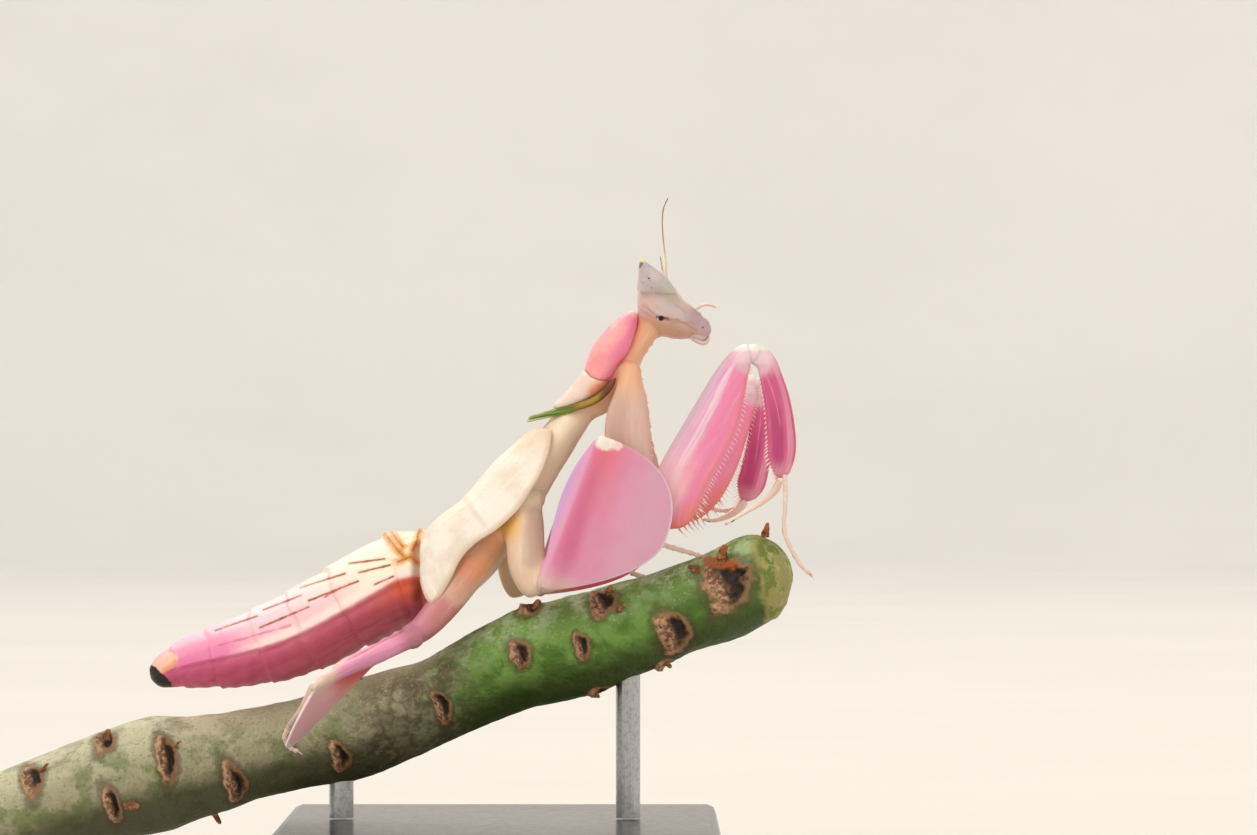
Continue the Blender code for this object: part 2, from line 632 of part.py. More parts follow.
def make_stem():
    """The cut length of green stem that the feet grip, with raised leaf scars."""
    rings, sides = 32, 12
    x, z, radius = smooth_rows(STEM, np.linspace(0, 1, rings)).T
    centres = np.column_stack([x, np.zeros(rings), z])
    sideways, upward = frames(centres, (0.0, -1.0, 0.0))
    turns = np.linspace(0, 2 * math.pi, sides, endpoint=False)
    reach = np.repeat(radius[:, None], sides, axis=1)
    for scar_x, turn, height, spread in SCARS:
        off_turn = (turns - math.radians(turn) + math.pi) % (2 * math.pi) - math.pi
        distance = ((x - scar_x) / spread)[:, None] ** 2 + (off_turn * radius.mean() / spread) ** 2
        reach += height * np.exp(-distance)
    upward = upward * np.sign(upward[:, 2:3])
    points = centres[:, None, :] + reach[..., None] * (
        np.cos(turns)[None, :, None] * upward[:, None, :] + np.sin(turns)[None, :, None] * sideways[:, None, :]
    )
    return new_object("perch_stem", points.reshape(-1, 3), ring_faces(rings, sides), (0.3, 0.36, 0.16), 0.7)


def stem_height(x):
    """The height of the stem's middle over x."""
    places = np.linspace(0, 1, 400)
    return smooth_rows(STEM, [float(np.interp(x, smooth_rows(STEM, places)[:, 0], places))])[0]


def cylinder(name, x, bottom, top, radius, collection=MODEL):
    middle = (x * MM, 0, (bottom + top) / 2 * MM)
    depth = (top - bottom) * MM
    bpy.ops.mesh.primitive_cylinder_add(vertices=24, radius=radius * MM, depth=depth, location=middle)
    piece = bpy.context.object
    piece.name = name
    piece.data.name = name
    for owner in list(piece.users_collection):
        owner.objects.unlink(piece)
    bpy.data.collections[collection].objects.link(piece)
    return piece


def make_stand(stem):
    """A flat base and two short rods that enter the stem."""
    bpy.ops.mesh.primitive_cube_add(size=1, location=(0, 0, BASE_HEIGHT / 2 * MM))
    base = bpy.context.object
    base.name = "stand_base"
    for owner in list(base.users_collection):
        owner.objects.unlink(base)
    bpy.data.collections[MODEL].objects.link(base)
    base.scale = (BASE_LENGTH * MM, BASE_DEPTH * MM, BASE_HEIGHT * MM)
    bpy.ops.object.transform_apply(location=False, rotation=False, scale=True)
    bevel = base.modifiers.new("edge", "BEVEL")
    bevel.width = BASE_BEVEL * MM
    bevel.segments = 2
    base.data.materials.append(plain_material("stand_base", (0.05, 0.05, 0.055), 0.35))
    for name, x in ROD_PLACES.items():
        _, middle, radius = stem_height(x)
        top = middle - radius + ROD_SOCKET
        upright = cylinder(name, x, BASE_HEIGHT + CUT, top, ROD_DIAMETER / 2)
        upright.data.materials.append(plain_material(name, (0.6, 0.6, 0.62), 0.25, 1.0))
        socket = cylinder(f"{name}_socket", x, BASE_HEIGHT, top + CUT, ROD_DIAMETER / 2 + CUT, CUTTERS)
        socket.hide_render = True
        socket.display_type = "WIRE"
        hole = stem.modifiers.new("socket", "BOOLEAN")
        hole.operation = "DIFFERENCE"
        hole.object = socket


def main():
    for stale in list(bpy.data.objects):
        bpy.data.objects.remove(stale, do_unlink=True)
    for name in (MODEL, CUTTERS):
        collection = bpy.data.collections.new(name)
        bpy.context.scene.collection.children.link(collection)
    stem = make_stem()
    abdomen = make_abdomen()
    trunk = make_trunk()
    make_head(trunk)
    carve(abdomen["abdomen_front"], trunk["thorax"])
    pads = make_wing_pads(trunk, abdomen)
    for side in (RIGHT, LEFT):
        make_raptorial_leg(side, trunk)
        make_walking_legs(side, trunk, abdomen, pads[side], stem)
    make_stand(stem)


main()
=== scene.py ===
"""Orchid mantis: the finish of a still, life-size model of a late nymph on a cut stem and a stand.

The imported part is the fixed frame, and the pieces here are its skin, shell plates, eyes, feelers, spines,
claws and bark. The animal faces +X with its right side towards -Y. Sizes are in millimetres and become
metres in the meshes.
"""

import math

import bpy
import numpy as np
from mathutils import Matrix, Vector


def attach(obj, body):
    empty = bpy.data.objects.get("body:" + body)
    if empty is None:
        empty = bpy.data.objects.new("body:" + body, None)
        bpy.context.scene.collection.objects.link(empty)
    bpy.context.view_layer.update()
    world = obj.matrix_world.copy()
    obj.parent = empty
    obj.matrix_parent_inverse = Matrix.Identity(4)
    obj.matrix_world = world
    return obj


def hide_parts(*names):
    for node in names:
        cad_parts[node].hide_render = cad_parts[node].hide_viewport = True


bl_info = {
    "name": "Orchid Mantis Model",
    "version": (1, 0, 0),
    "blender": (4, 5, 0),
    "location": "View3D > Sidebar > Mantis",
    "description": "Builds the skin, shell, eyes, spines and perch of a museum model of an orchid mantis",
    "category": "Add Mesh",
}

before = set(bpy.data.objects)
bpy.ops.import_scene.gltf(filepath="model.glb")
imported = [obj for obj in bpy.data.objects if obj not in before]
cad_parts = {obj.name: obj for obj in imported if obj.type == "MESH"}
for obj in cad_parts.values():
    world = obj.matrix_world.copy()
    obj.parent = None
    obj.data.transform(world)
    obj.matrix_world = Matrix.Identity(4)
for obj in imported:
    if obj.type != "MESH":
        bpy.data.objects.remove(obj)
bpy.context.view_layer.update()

MM = 0.001
BODY = "root"
RIGHT, LEFT = -1, 1
SIDES = {"right": RIGHT, "left": LEFT}
ACROSS = (0.0, 1.0, 0.0)
LIE = "Lie"  # the UV map that holds millimetres along and across each surface

# -----------------------------------------------------------------------------
# The body's sizes, as in the solids
# -----------------------------------------------------------------------------
# Abdomen, thorax, pronotum and head: rows of x, z, half width and half height on the middle plane
ABDOMEN = [
    (-4.9, 25.0, 3.2, 3.6),
    (-8.2, 24.6, 4.1, 3.8),
    (-12.3, 22.5, 4.3, 3.65),
    (-16.4, 20.3, 4.1, 3.45),
    (-20.5, 18.9, 3.5, 3.0),
    (-24.6, 18.0, 2.6, 2.3),
    (-26.7, 17.4, 1.9, 1.7),
    (-28.0, 16.8, 1.15, 1.15),
    (-28.6, 16.5, 0.5, 0.5),
]
ABDOMEN_KEEL = 1.6  # power of its sections, which are keeled below 2
TERGITE_ENDS = (-4.9, -6.3, -8.2, -12.6, -16.2, -19.5, -23.4, -26.4, -29.6)  # x of their rims
TERGITE_STEP, CRUMPLED_SWELL = 0.07, 0.03  # shares of the section
THORAX = [
    (-4.6, 24.6, 2.7, 2.2),
    (-2.6, 26.4, 3.2, 2.4),
    (-0.6, 28.8, 3.1, 2.2),
    (1.5, 31.4, 2.75, 1.95),
    (3.4, 34.2, 2.5, 1.7),
    (5.2, 36.8, 2.2, 1.5),
    (6.6, 38.7, 1.8, 1.4),
    (8.3, 39.8, 1.75, 1.5),
    (9.4, 40.9, 1.8, 1.5),
    (10.25, 42.1, 1.75, 1.15),
    (11.05, 43.4, 1.3, 0.9),
    (11.8, 44.7, 1.2, 0.98),
    (12.5, 46.0, 1.2, 1.05),
    (12.9, 47.0, 1.1, 0.9),
]
PRONOTUM = [
    (11.1, 46.6, 1.2, 0.3),
    (10.6, 45.9, 1.9, 0.78),
    (9.95, 44.9, 2.5, 1.16),
    (9.4, 44.0, 2.75, 1.35),
    (8.86, 43.1, 2.8, 1.43),
    (8.4, 42.1, 2.65, 1.38),
    (7.95, 41.2, 2.6, 1.3),
    (7.2, 40.35, 2.5, 1.2),
    (6.3, 39.65, 2.3, 0.95),
    (5.3, 39.1, 1.85, 0.6),
    (4.4, 38.7, 1.3, 0.3),
]
SHIELD_KEEL = 2.4  # power of its sections, which are fuller than ovals above 2
SHIELD_FURROW = [(6.9, 41.85), (7.4, 41.3), (8.1, 40.98), (9.0, 40.85), (9.6, 41.05)]  # x and z
# The left half of the band: rows of x, y, z and half its width
BAND = [
    (9.5, 2.75, 41.15, 0.08),
    (9.05, 2.75, 40.55, 0.3),
    (8.4, 2.65, 39.85, 0.34),
    (7.5, 2.5, 39.25, 0.36),
    (6.4, 2.2, 38.88, 0.36),
    (5.2, 1.7, 38.55, 0.4),
    (3.9, 1.1, 38.22, 0.44),
    (2.9, 0.45, 37.95, 0.46),
    (2.55, 0.0, 37.85, 0.46),
]
BAND_THICK, BAND_WIDEST = 0.17, 0.46  # half the thickness and the most half width
HEAD = [
    (12.0, 50.1, 1.1, 0.35),
    (12.3, 49.35, 2.1, 0.95),
    (12.75, 48.1, 2.7, 1.58),
    (13.2, 47.05, 2.6, 1.8),
    (14.1, 46.25, 2.1, 1.7),
    (15.1, 45.8, 1.6, 1.47),
    (15.9, 45.45, 1.2, 1.2),
    (16.6, 44.95, 0.85, 0.85),
    (17.0, 44.45, 0.5, 0.42),
]
# Eyes: rows of x, y, z, half thickness across the body and half depth in profile
EYE = [
    (12.9, 1.7, 47.95, 1.2, 1.5),
    (12.88, 1.9, 48.2, 1.42, 1.62),
    (12.75, 2.15, 48.7, 1.45, 1.5),
    (12.5, 2.55, 49.4, 1.25, 1.17),
    (12.1, 3.05, 50.05, 0.8, 0.74),
    (11.77, 3.45, 50.5, 0.38, 0.36),
    (11.52, 3.65, 50.85, 0.12, 0.12),
]
# Feelers and palps: rows of x, y and z
ANTENNA = [
    (13.6, -0.5, 49.4),
    (13.6, -0.8, 50.7),
    (13.4, -1.2, 52.3),
    (13.3, -1.7, 53.8),
    (13.4, -2.1, 55.0),
    (13.8, -2.4, 55.9),
]
BROKEN_ANTENNA = [(13.45, 0.6, 49.3), (13.3, 0.9, 50.2), (13.15, 1.3, 51.2)]
PALP = [(16.0, 0.8, 46.75), (16.55, 1.05, 47.1), (17.15, 1.25, 47.18), (17.7, 1.4, 46.95)]
# Lip and jaws, with rows as in the eyes
LIP = [
    (15.25, 0.0, 44.85, 0.6, 0.22),
    (15.95, 0.0, 44.36, 0.62, 0.24),
    (16.6, 0.0, 44.06, 0.55, 0.23),
    (16.98, 0.0, 44.2, 0.42, 0.2),
    (17.1, 0.0, 44.6, 0.25, 0.14),
]
JAW = [
    (15.2, 0.5, 45.2, 0.3, 0.4),
    (15.9, 0.5, 44.85, 0.34, 0.42),
    (16.5, 0.4, 44.6, 0.3, 0.36),
    (16.95, 0.25, 44.55, 0.16, 0.22),
]
# Edges of the wing pads, from front to rear: rows of x, y and z
PAD_INNER = [
    (2.7, 0.3, 36.9),
    (1.0, 0.35, 35.5),
    (-0.6, 0.4, 34.1),
    (-2.1, 0.5, 32.3),
    (-3.5, 0.6, 30.8),
    (-4.9, 0.9, 29.8),
    (-6.1, 1.5, 28.5),
    (-6.6, 2.4, 26.8),
    (-6.5, 3.4, 24.9),
    (-6.0, 4.4, 23.3),
    (-5.5, 4.85, 22.75),
]
PAD_OUTER = [
    (4.3, 2.4, 36.9),
    (4.1, 3.2, 35.3),
    (3.6, 3.6, 33.8),
    (2.8, 3.9, 32.3),
    (1.6, 4.2, 30.5),
    (-0.1, 4.4, 28.9),
    (-1.9, 4.6, 27.7),
    (-3.1, 4.75, 26.4),
    (-3.8, 4.85, 25.0),
    (-4.6, 4.9, 23.6),
    (-5.3, 4.92, 22.8),
]
PAD_THICK, PAD_BULGE = 0.42, 0.7

# Legs: rows of x, y, z, half thickness across the body and half depth in profile. Claws, feet and the thin
# shins are rows of x, y and z
FORE_COXA = [
    (10.9, 1.8, 42.2, 0.75, 0.7),
    (10.7, 2.5, 41.0, 0.85, 0.95),
    (10.65, 2.9, 39.5, 0.9, 1.4),
    (10.5, 3.1, 37.9, 0.92, 1.78),
    (10.5, 3.2, 36.3, 0.9, 1.88),
    (10.8, 3.3, 34.6, 0.82, 1.7),
    (11.6, 3.35, 32.6, 0.72, 1.3),
    (12.3, 3.4, 31.2, 0.65, 0.95),
]
FORE_FEMUR = [
    (13.1, 3.4, 28.9, 0.5, 0.9),
    (13.6, 3.4, 30.0, 0.72, 1.9),
    (14.3, 3.4, 31.5, 0.8, 2.12),
    (15.25, 3.35, 33.6, 0.82, 2.12),
    (16.4, 3.3, 35.6, 0.8, 2.12),
    (17.6, 3.3, 37.9, 0.75, 2.0),
    (18.5, 3.25, 40.2, 0.68, 1.6),
    (19.15, 3.2, 41.75, 0.62, 1.25),
    (19.85, 3.2, 42.85, 0.6, 0.95),
    (20.65, 3.2, 43.15, 0.6, 0.8),
]
FORE_TIBIA = [
    (20.2, 3.2, 42.8, 0.2, 0.3),
    (20.95, 3.2, 43.05, 0.5, 0.82),
    (21.75, 3.2, 42.35, 0.56, 0.85),
    (22.2, 3.2, 41.0, 0.56, 0.95),
    (22.6, 3.2, 39.4, 0.56, 1.08),
    (22.85, 3.2, 37.7, 0.56, 1.17),
    (23.0, 3.2, 36.0, 0.52, 1.2),
    (23.0, 3.2, 34.7, 0.46, 1.12),
    (23.05, 3.2, 33.5, 0.4, 0.7),
    (23.15, 3.2, 33.0, 0.35, 0.45),
]
FORE_KNEE = [(19.9, 3.2, 42.85, 0.42, 0.6), (20.75, 3.2, 43.08, 0.66, 0.84), (21.6, 3.2, 42.6, 0.42, 0.6)]
FORE_CLAW = [(22.9, 3.2, 32.8), (22.4, 3.1, 31.9), (21.4, 3.0, 31.0), (20.0, 2.8, 30.15), (18.4, 2.6, 29.2)]
FORE_TARSUS = [
    (23.25, 3.95, 33.3),
    (23.3, 3.95, 31.2),
    (23.2, 3.9, 28.8),
    (23.7, 3.85, 27.4),
    (24.5, 3.8, 26.0),
    (25.5, 3.7, 25.0),
]
FORE_LEFT_FEMUR = [
    (14.0, 3.5, 29.4, 0.5, 0.8),
    (14.8, 3.6, 30.6, 0.72, 1.8),
    (16.2, 3.8, 32.2, 0.8, 2.15),
    (17.35, 4.1, 34.1, 0.8, 2.1),
    (18.1, 4.35, 35.4, 0.78, 1.9),
    (18.9, 4.6, 37.0, 0.72, 1.6),
    (19.95, 4.95, 39.4, 0.62, 1.2),
    (20.6, 5.15, 40.6, 0.58, 0.85),
    (21.15, 5.2, 40.8, 0.56, 0.68),
]
FORE_LEFT_TIBIA = [
    (20.8, 5.2, 40.45, 0.2, 0.3),
    (21.4, 5.2, 40.55, 0.46, 0.72),
    (21.85, 5.2, 39.5, 0.52, 0.85),
    (21.75, 5.2, 38.0, 0.52, 0.98),
    (21.5, 5.2, 36.4, 0.52, 1.05),
    (21.25, 5.2, 34.9, 0.5, 1.12),
    (20.95, 5.2, 33.4, 0.46, 1.18),
    (20.65, 5.2, 32.3, 0.42, 1.15),
    (20.4, 5.2, 31.4, 0.36, 0.75),
    (20.35, 5.2, 30.95, 0.3, 0.4),
]
FORE_LEFT_KNEE = [(20.4, 5.15, 40.45, 0.4, 0.5), (21.1, 5.2, 40.6, 0.62, 0.7), (21.65, 5.2, 40.2, 0.4, 0.5)]
FORE_LEFT_CLAW = [
    (20.3, 5.1, 31.0),
    (19.6, 5.0, 30.3),
    (18.7, 4.9, 29.75),
    (17.6, 4.7, 29.4),
    (16.7, 4.5, 29.5),
]
FORE_LEFT_TARSUS = [
    (20.3, 5.6, 31.1),
    (19.4, 5.7, 30.4),
    (18.2, 5.75, 30.2),
    (17.0, 5.7, 30.6),
    (16.0, 5.6, 31.3),
]
TROCHANTER = [(12.2, 3.4, 31.7, 0.5, 0.8), (12.5, 3.4, 30.7, 0.62, 0.95), (13.2, 3.4, 30.0, 0.6, 0.9)]
FORE_LEFT_HIP_STEP = (0.9, 0.1, 0.0)  # where the left hip ends, against the right one
FORE_LEFT_HIP_FROM = -1.2  # share of that at the top: below 0 it starts further down the hip
MID_COXA = [
    (2.0, 1.9, 31.4, 0.9, 1.2),
    (2.1, 2.9, 29.5, 1.0, 1.5),
    (2.15, 3.8, 27.6, 1.05, 1.55),
    (2.3, 4.5, 25.9, 1.0, 1.5),
    (2.7, 4.9, 24.5, 0.88, 1.2),
    (3.4, 5.2, 23.7, 0.65, 0.8),
]
MID_FEMUR_BASE, MID_FEMUR_KNEE = (3.8, 5.4, 23.8), (8.5, 5.4, 36.3)
MID_FEMUR_LOBE = (0.936, 0.0, -0.352)  # the way that the lobe stands out
MID_FEMUR_WIDE = {RIGHT: 7.7, LEFT: 7.0}
MID_TIBIA = [(8.7, 4.6, 35.6), (10.3, 4.68, 32.8), (11.9, 4.5, 30.0), (13.1, 3.5, 28.0)]
MID_TARSUS = [
    (13.1, 3.5, 28.0),
    (13.35, 3.2, 27.6),
    (14.3, 2.6, 27.25),
    (15.5, 1.9, 26.9),
    (16.6, 1.3, 26.55),
]
MID_LEFT_SHIFT = (-1.6, 0.0, -0.5)
MID_LEFT_BASE_SHIFT, MID_LEFT_KNEE_SHIFT = (-0.9, 0.0, -0.6), (0.45, 0.0, -0.95)
MID_LEFT_FOOT_SHIFT = (-2.6, 1.0, -2.4)
MID_LEFT_TARSUS = [
    (10.5, 4.5, 25.6),
    (10.8, 4.4, 25.1),
    (11.8, 4.2, 24.7),
    (12.9, 3.8, 24.3),
    (13.9, 3.5, 23.9),
]
# Lobes: where they begin, where they are widest, and the power of their rise to that
MID_LOBE = (0.0, 0.54, 1.8)
MID_BACK_LOBE, MID_CUP = 1.0, 0.12  # a narrow lobe behind the rod, and the bend of the margin
MID_FEMUR_ROD, HIND_FEMUR_ROD = (0.66, 0.46), (0.8, 0.5)  # radii at the base and the knee
MID_LEFT_HIP_FROM = 0.2  # share of the left leg's shift at the top of its hip
HIND_COXA = [
    (-0.6, 1.6, 28.2, 0.9, 1.0),
    (-1.9, 2.6, 26.2, 1.05, 1.3),
    (-3.3, 3.5, 24.2, 1.08, 1.35),
    (-4.8, 4.2, 22.3, 1.0, 1.25),
    (-6.2, 4.75, 20.8, 1.0, 1.05),
    (-7.6, 5.3, 20.0, 0.95, 0.85),
]
HIND_FEMUR_BASE, HIND_FEMUR_KNEE = (-6.9, 5.2, 20.1), (-14.0, 16.0, 17.0)
HIND_FEMUR_LOBE = (-0.34, -0.64, -0.69)
HIND_FEMUR_WIDE = 8.0
HIND_LOBE = (0.3, 0.88, 1.3)
HIND_TIBIA = [
    (-14.2, 15.7, 16.6),
    (-14.6, 15.3, 16.4),
    (-15.6, 11.5, 14.6),
    (-16.5, 7.5, 13.5),
    (-16.9, 5.5, 13.0),
]
HIND_TARSUS = [
    (-16.9, 5.5, 13.0),
    (-17.1, 5.0, 12.6),
    (-17.4, 4.5, 11.9),
    (-17.0, 4.15, 11.1),
    (-16.2, 4.05, 10.7),
]
LOBE_EDGE = 0.13  # half the thickness of a petal lobe near its margin
# Creases across a lobe: share of the width, height and reach
MID_CREASES = ((0.2, -0.16, 0.5), (0.1, 0.08, 0.3), (0.55, 0.03, 0.8))
HIND_CREASES = ((0.12, 0.06, 0.3), (0.5, 0.03, 0.8))
# How far, in millimetres, the smooth unions between surfaces reach. The hips' are from front to hind legs
HIP_BLENDS, WAIST_BLEND, NECK_BLEND = (1.2, 1.6, 1.8), 1.2, 0.9
KNEE_BLEND, TROCHANTER_BLEND, COXA_BLEND = 0.4, 0.8, 0.6
MID_THIGH_BLEND, HIND_THIGH_BLEND = 0.9, 1.0
MID_THIGH_CORE, HIND_THIGH_CORE = (0.3, 0.7), (0.4, 0.78)  # share of the thigh and radius
CORE_RINGS, CORE_SIDES = 30, 8
# Round limbs: radii at evenly spaced places, rings, sides and the places of the knots
FORE_FOOT_ROUND = ((0.2, 0.19, 0.17, 0.16, 0.15, 0.13), 60, 12, (0.42, 0.58, 0.7, 0.82, 0.93))
MID_SHIN_ROUND = ((0.27, 0.24, 0.22, 0.24), 48, 16)
MID_FOOT_ROUND = ((0.24, 0.22, 0.2, 0.18, 0.16), 64, 14, (0.28, 0.48, 0.64, 0.78, 0.9))
HIND_SHIN_ROUND = ((0.36, 0.32, 0.27, 0.24, 0.26), 56, 16)
HIND_FOOT_ROUND = ((0.25, 0.22, 0.2, 0.18, 0.16), 60, 14, (0.3, 0.5, 0.66, 0.8, 0.92))
PALP_ROUND = ((0.16, 0.13, 0.11, 0.1, 0.07), 36, 12, (0.32, 0.68))
FEELER_ROOT_ROUND = ((0.18, 0.17, 0.12, 0.08), 26, 12, (0.55,))
FEELER_ROUND = ((0.09, 0.07, 0.055, 0.05, 0.045, 0.035), 180, 10, tuple(np.linspace(0.1, 0.95, 26)))
STUMP_ROUND = ((0.09, 0.065, 0.04), 50, 10, (0.3, 0.5, 0.7))
CLAW_ROUND = ((0.3, 0.33, 0.3, 0.25, 0.19, 0.15, 0.13), 90, 20)
# Rings along and sides around the larger surfaces
ABDOMEN_MESH, TRUNK_MESH, HEAD_MESH, EYE_MESH = (196, 96), (136, 60), (96, 80), (80, 72)
COXA_MESH, FEMUR_MESH, TIBIA_MESH = (62, 40), (84, 54), (72, 44)
KNEE_MESH, TROCHANTER_MESH = (24, 30), (24, 24)
MID_HIP_MESH, HIND_HIP_MESH, PETAL_MESH = (54, 40), (60, 40), (84, 32)
SHIELD_MESH, COLLAR_MESH, PAD_MESH, LIP_MESH, JAW_MESH = (150, 96), (170, 28), (70, 28), (30, 24), (26, 20)
STEM_MESH, STUB_MESH, SPIKE_MESH = (420, 170), (24, 18), (6, 6)

# The cut stem, as rows of x, z and radius
STEM = [
    (-41.6, 4.4, 3.8),
    (-39.0, 5.3, 4.1),
    (-33.0, 7.4, 4.4),
    (-28.0, 8.7, 4.75),
    (-24.6, 9.3, 4.15),
    (-20.5, 10.3, 3.7),
    (-16.4, 11.2, 3.65),
    (-12.3, 12.2, 3.95),
    (-8.2, 13.6, 3.75),
    (-4.9, 14.9, 3.5),
    (-1.6, 16.5, 3.7),
    (1.6, 17.9, 3.95),
    (4.9, 18.8, 4.1),
    (8.2, 19.8, 4.0),
    (11.5, 21.0, 3.75),
    (14.8, 22.1, 3.6),
    (18.0, 23.2, 3.7),
    (21.0, 24.7, 3.65),
    (22.7, 25.3, 3.2),
    (23.9, 25.6, 2.5),
]
# Leaf scars: x, turn from the top towards the right side in degrees, half length, half height and lip
SCARS = [
    (-37.2, 50, 0.8, 1.5, 0.35),
    (-31.3, 37, 0.8, 1.0, 0.4),
    (-31.8, 108, 0.6, 1.4, 0.3),
    (-26.8, 75, 0.7, 1.6, 0.35),
    (-22.0, 120, 0.8, 1.9, 0.35),
    (-13.4, 115, 0.7, 1.4, 0.3),
    (-4.9, 99, 0.55, 1.4, 0.3),
    (1.9, 81, 0.75, 1.1, 0.35),
    (3.4, 16, 0.8, 1.1, 0.4),
    (6.7, 90, 0.55, 1.0, 0.3),
    (6.8, 168, 0.8, 1.0, 0.4),
    (9.3, 45, 1.1, 1.3, 0.4),
    (12.3, 168, 0.8, 1.2, 0.4),
    (13.7, 112, 1.2, 1.9, 0.4),
    (18.7, 76, 1.8, 2.1, 0.5),
    (-33.5, 225, 0.8, 1.5, 0.35),
    (-25.0, 270, 0.8, 1.4, 0.35),
    (-17.0, 235, 0.7, 1.4, 0.3),
    (-9.5, 285, 0.7, 1.5, 0.35),
    (-1.5, 240, 0.8, 1.4, 0.35),
    (5.0, 275, 0.8, 1.4, 0.35),
    (11.5, 240, 0.9, 1.6, 0.4),
    (17.0, 290, 1.0, 1.6, 0.4),
]
BARK_RIPPLES = [(0.1, 2.6, 31), (0.05, 1.1, 32), (0.025, 0.45, 33)]  # height, size and seed of their noise
# Dry stubs on the stem: x, turn, length, lean along the stem, half thickness
STUBS = [
    (22.6, 8, 1.0, 0.5, 0.22),
    (19.3, 40, 1.5, 0.6, 0.36),
    (17.2, 42, 1.0, -0.7, 0.26),
    (3.9, 14, 0.7, 0.5, 0.28),
    (9.9, 30, 0.8, 0.7, 0.25),
    (10.3, 62, 0.9, 0.8, 0.22),
    (-10.1, 12, 0.8, 0.1, 0.09),
    (6.6, 165, 0.7, 0.3, 0.2),
    (12.4, 165, 0.7, 0.4, 0.2),
    (-26.3, 62, 1.1, 0.9, 0.12),
    (-36.4, 45, 1.1, 0.9, 0.13),
    (-30.6, 112, 1.1, 0.9, 0.3),
    (-31.0, 28, 0.7, 0.3, 0.22),
    (-24.3, 178, 0.9, 0.3, 0.2),
]


# -----------------------------------------------------------------------------
# Curves, sections and surfaces
# -----------------------------------------------------------------------------
def smooth_rows(rows, places):
    """Catmull-Rom values at places, from 0 to 1, along evenly numbered rows."""
    rows = np.asarray(rows, float)
    padded = np.vstack([2 * rows[0] - rows[1], rows, 2 * rows[-1] - rows[-2]])
    along = np.clip(np.asarray(places), 0.0, 1.0) * (len(rows) - 1)
    first = np.minimum(along.astype(int), len(rows) - 2)
    t = (along - first)[:, None]
    before, start, end, after = (padded[first + k] for k in range(4))
    bend = 2 * before - 5 * start + 4 * end - after
    curve = 3 * start - before - 3 * end + after
    return 0.5 * (2 * start + (end - before) * t + bend * t**2 + curve * t**3)


def unit(vectors):
    vectors = np.asarray(vectors, float)
    return vectors / np.linalg.norm(vectors, axis=-1, keepdims=True)


def stacked(x, y, z):
    """Points from three arrays that fit together."""
    return np.stack(np.broadcast_arrays(x, y, z), axis=-1)


def closed(values):
    """Values round a ring with the first one again at the end."""
    return np.concatenate([values, values[:, :1]], axis=1)


def folded(front, back):
    """One ring round a plate, out over its front and home over its back."""
    return np.concatenate([front, back[:, -2:0:-1]], axis=1)


def round_end(away, reach, least):
    """How full sections are near a round end: sqrt(1 - (1 - t) ** 2), with t the share of the reach."""
    return np.sqrt(np.clip(1 - (1 - np.clip(away / reach, 0, 1)) ** 2, least, 1))


def ring_points(centres, sideways, upward, out, rise):
    """Points round a line of centres, this far sideways and this far up from it."""
    points = centres[:, None, :] + out[..., None] * sideways[:, None, :]
    return points + rise[..., None] * upward[:, None, :]


def eased(value, start, end):
    """Rises smoothly from 0 at start to 1 at end."""
    t = np.clip((value - start) / (end - start), 0, 1)
    return t * t * (3 - 2 * t)


def bump_at(value, middle, reach):
    """A bell of height 1 at the middle that dies away over the reach."""
    return np.exp(-(((value - middle) / reach) ** 2))


def marks(value, *rows):
    """The sum of bells along a value, from rows of height, middle and reach."""
    return sum(height * bump_at(value, middle, reach) for height, middle, reach in rows)


def sections(centres, across, tangents=None):
    """The sideways and upward unit vectors of the sections along a line of centres."""
    tangents = unit(np.gradient(centres, axis=0) if tangents is None else tangents)
    across = np.broadcast_to(np.asarray(across, float), centres.shape)
    sideways = unit(across - (across * tangents).sum(1, keepdims=True) * tangents)
    return sideways, np.cross(tangents, sideways)


def run_of(points):
    """Millimetres along a line of points."""
    steps = np.linalg.norm(np.diff(points, axis=0), axis=-1)
    return np.concatenate([np.zeros((1,) + steps.shape[1:]), np.cumsum(steps, axis=0)])


def grain(points, size, seed):
    """Smooth noise from -1 to 1: a random value at each corner of cubes of this size, eased in between."""
    place = np.asarray(points, float) / size
    corner = np.floor(place).astype(np.int64)
    part = place - corner
    part = part * part * (3 - 2 * part)
    total = np.zeros(place.shape[:-1])
    for step in np.ndindex(2, 2, 2):
        key = (corner + np.array(step)) @ np.array([73856093, 19349663, 83492791]) + seed * 2654435761
        key = (key ^ (key >> 13)) * 1274126177
        value = ((key ^ (key >> 16)) & 65535) / 32767.5 - 1
        total += value * np.prod(np.where(np.array(step) == 1, part, 1 - part), axis=-1)
    return total


def turn_of(angle):
    """How far an angle round a tube is from the top: 0 there and 1 at the underside."""
    return np.abs(angle - math.pi / 2) / math.pi


def placed(points, side):
    """Points given for the left side, carried to the side asked for."""
    return np.asarray(points, float) * np.array([1.0, side, 1.0])


def add_field(made, name, values):
    """Gives a surface a field, from rings by sides. Each end's middle point gets the mean of its ring."""
    made["fields"][name] = np.concatenate([values.ravel(), values[[0, -1]].mean(axis=1)])


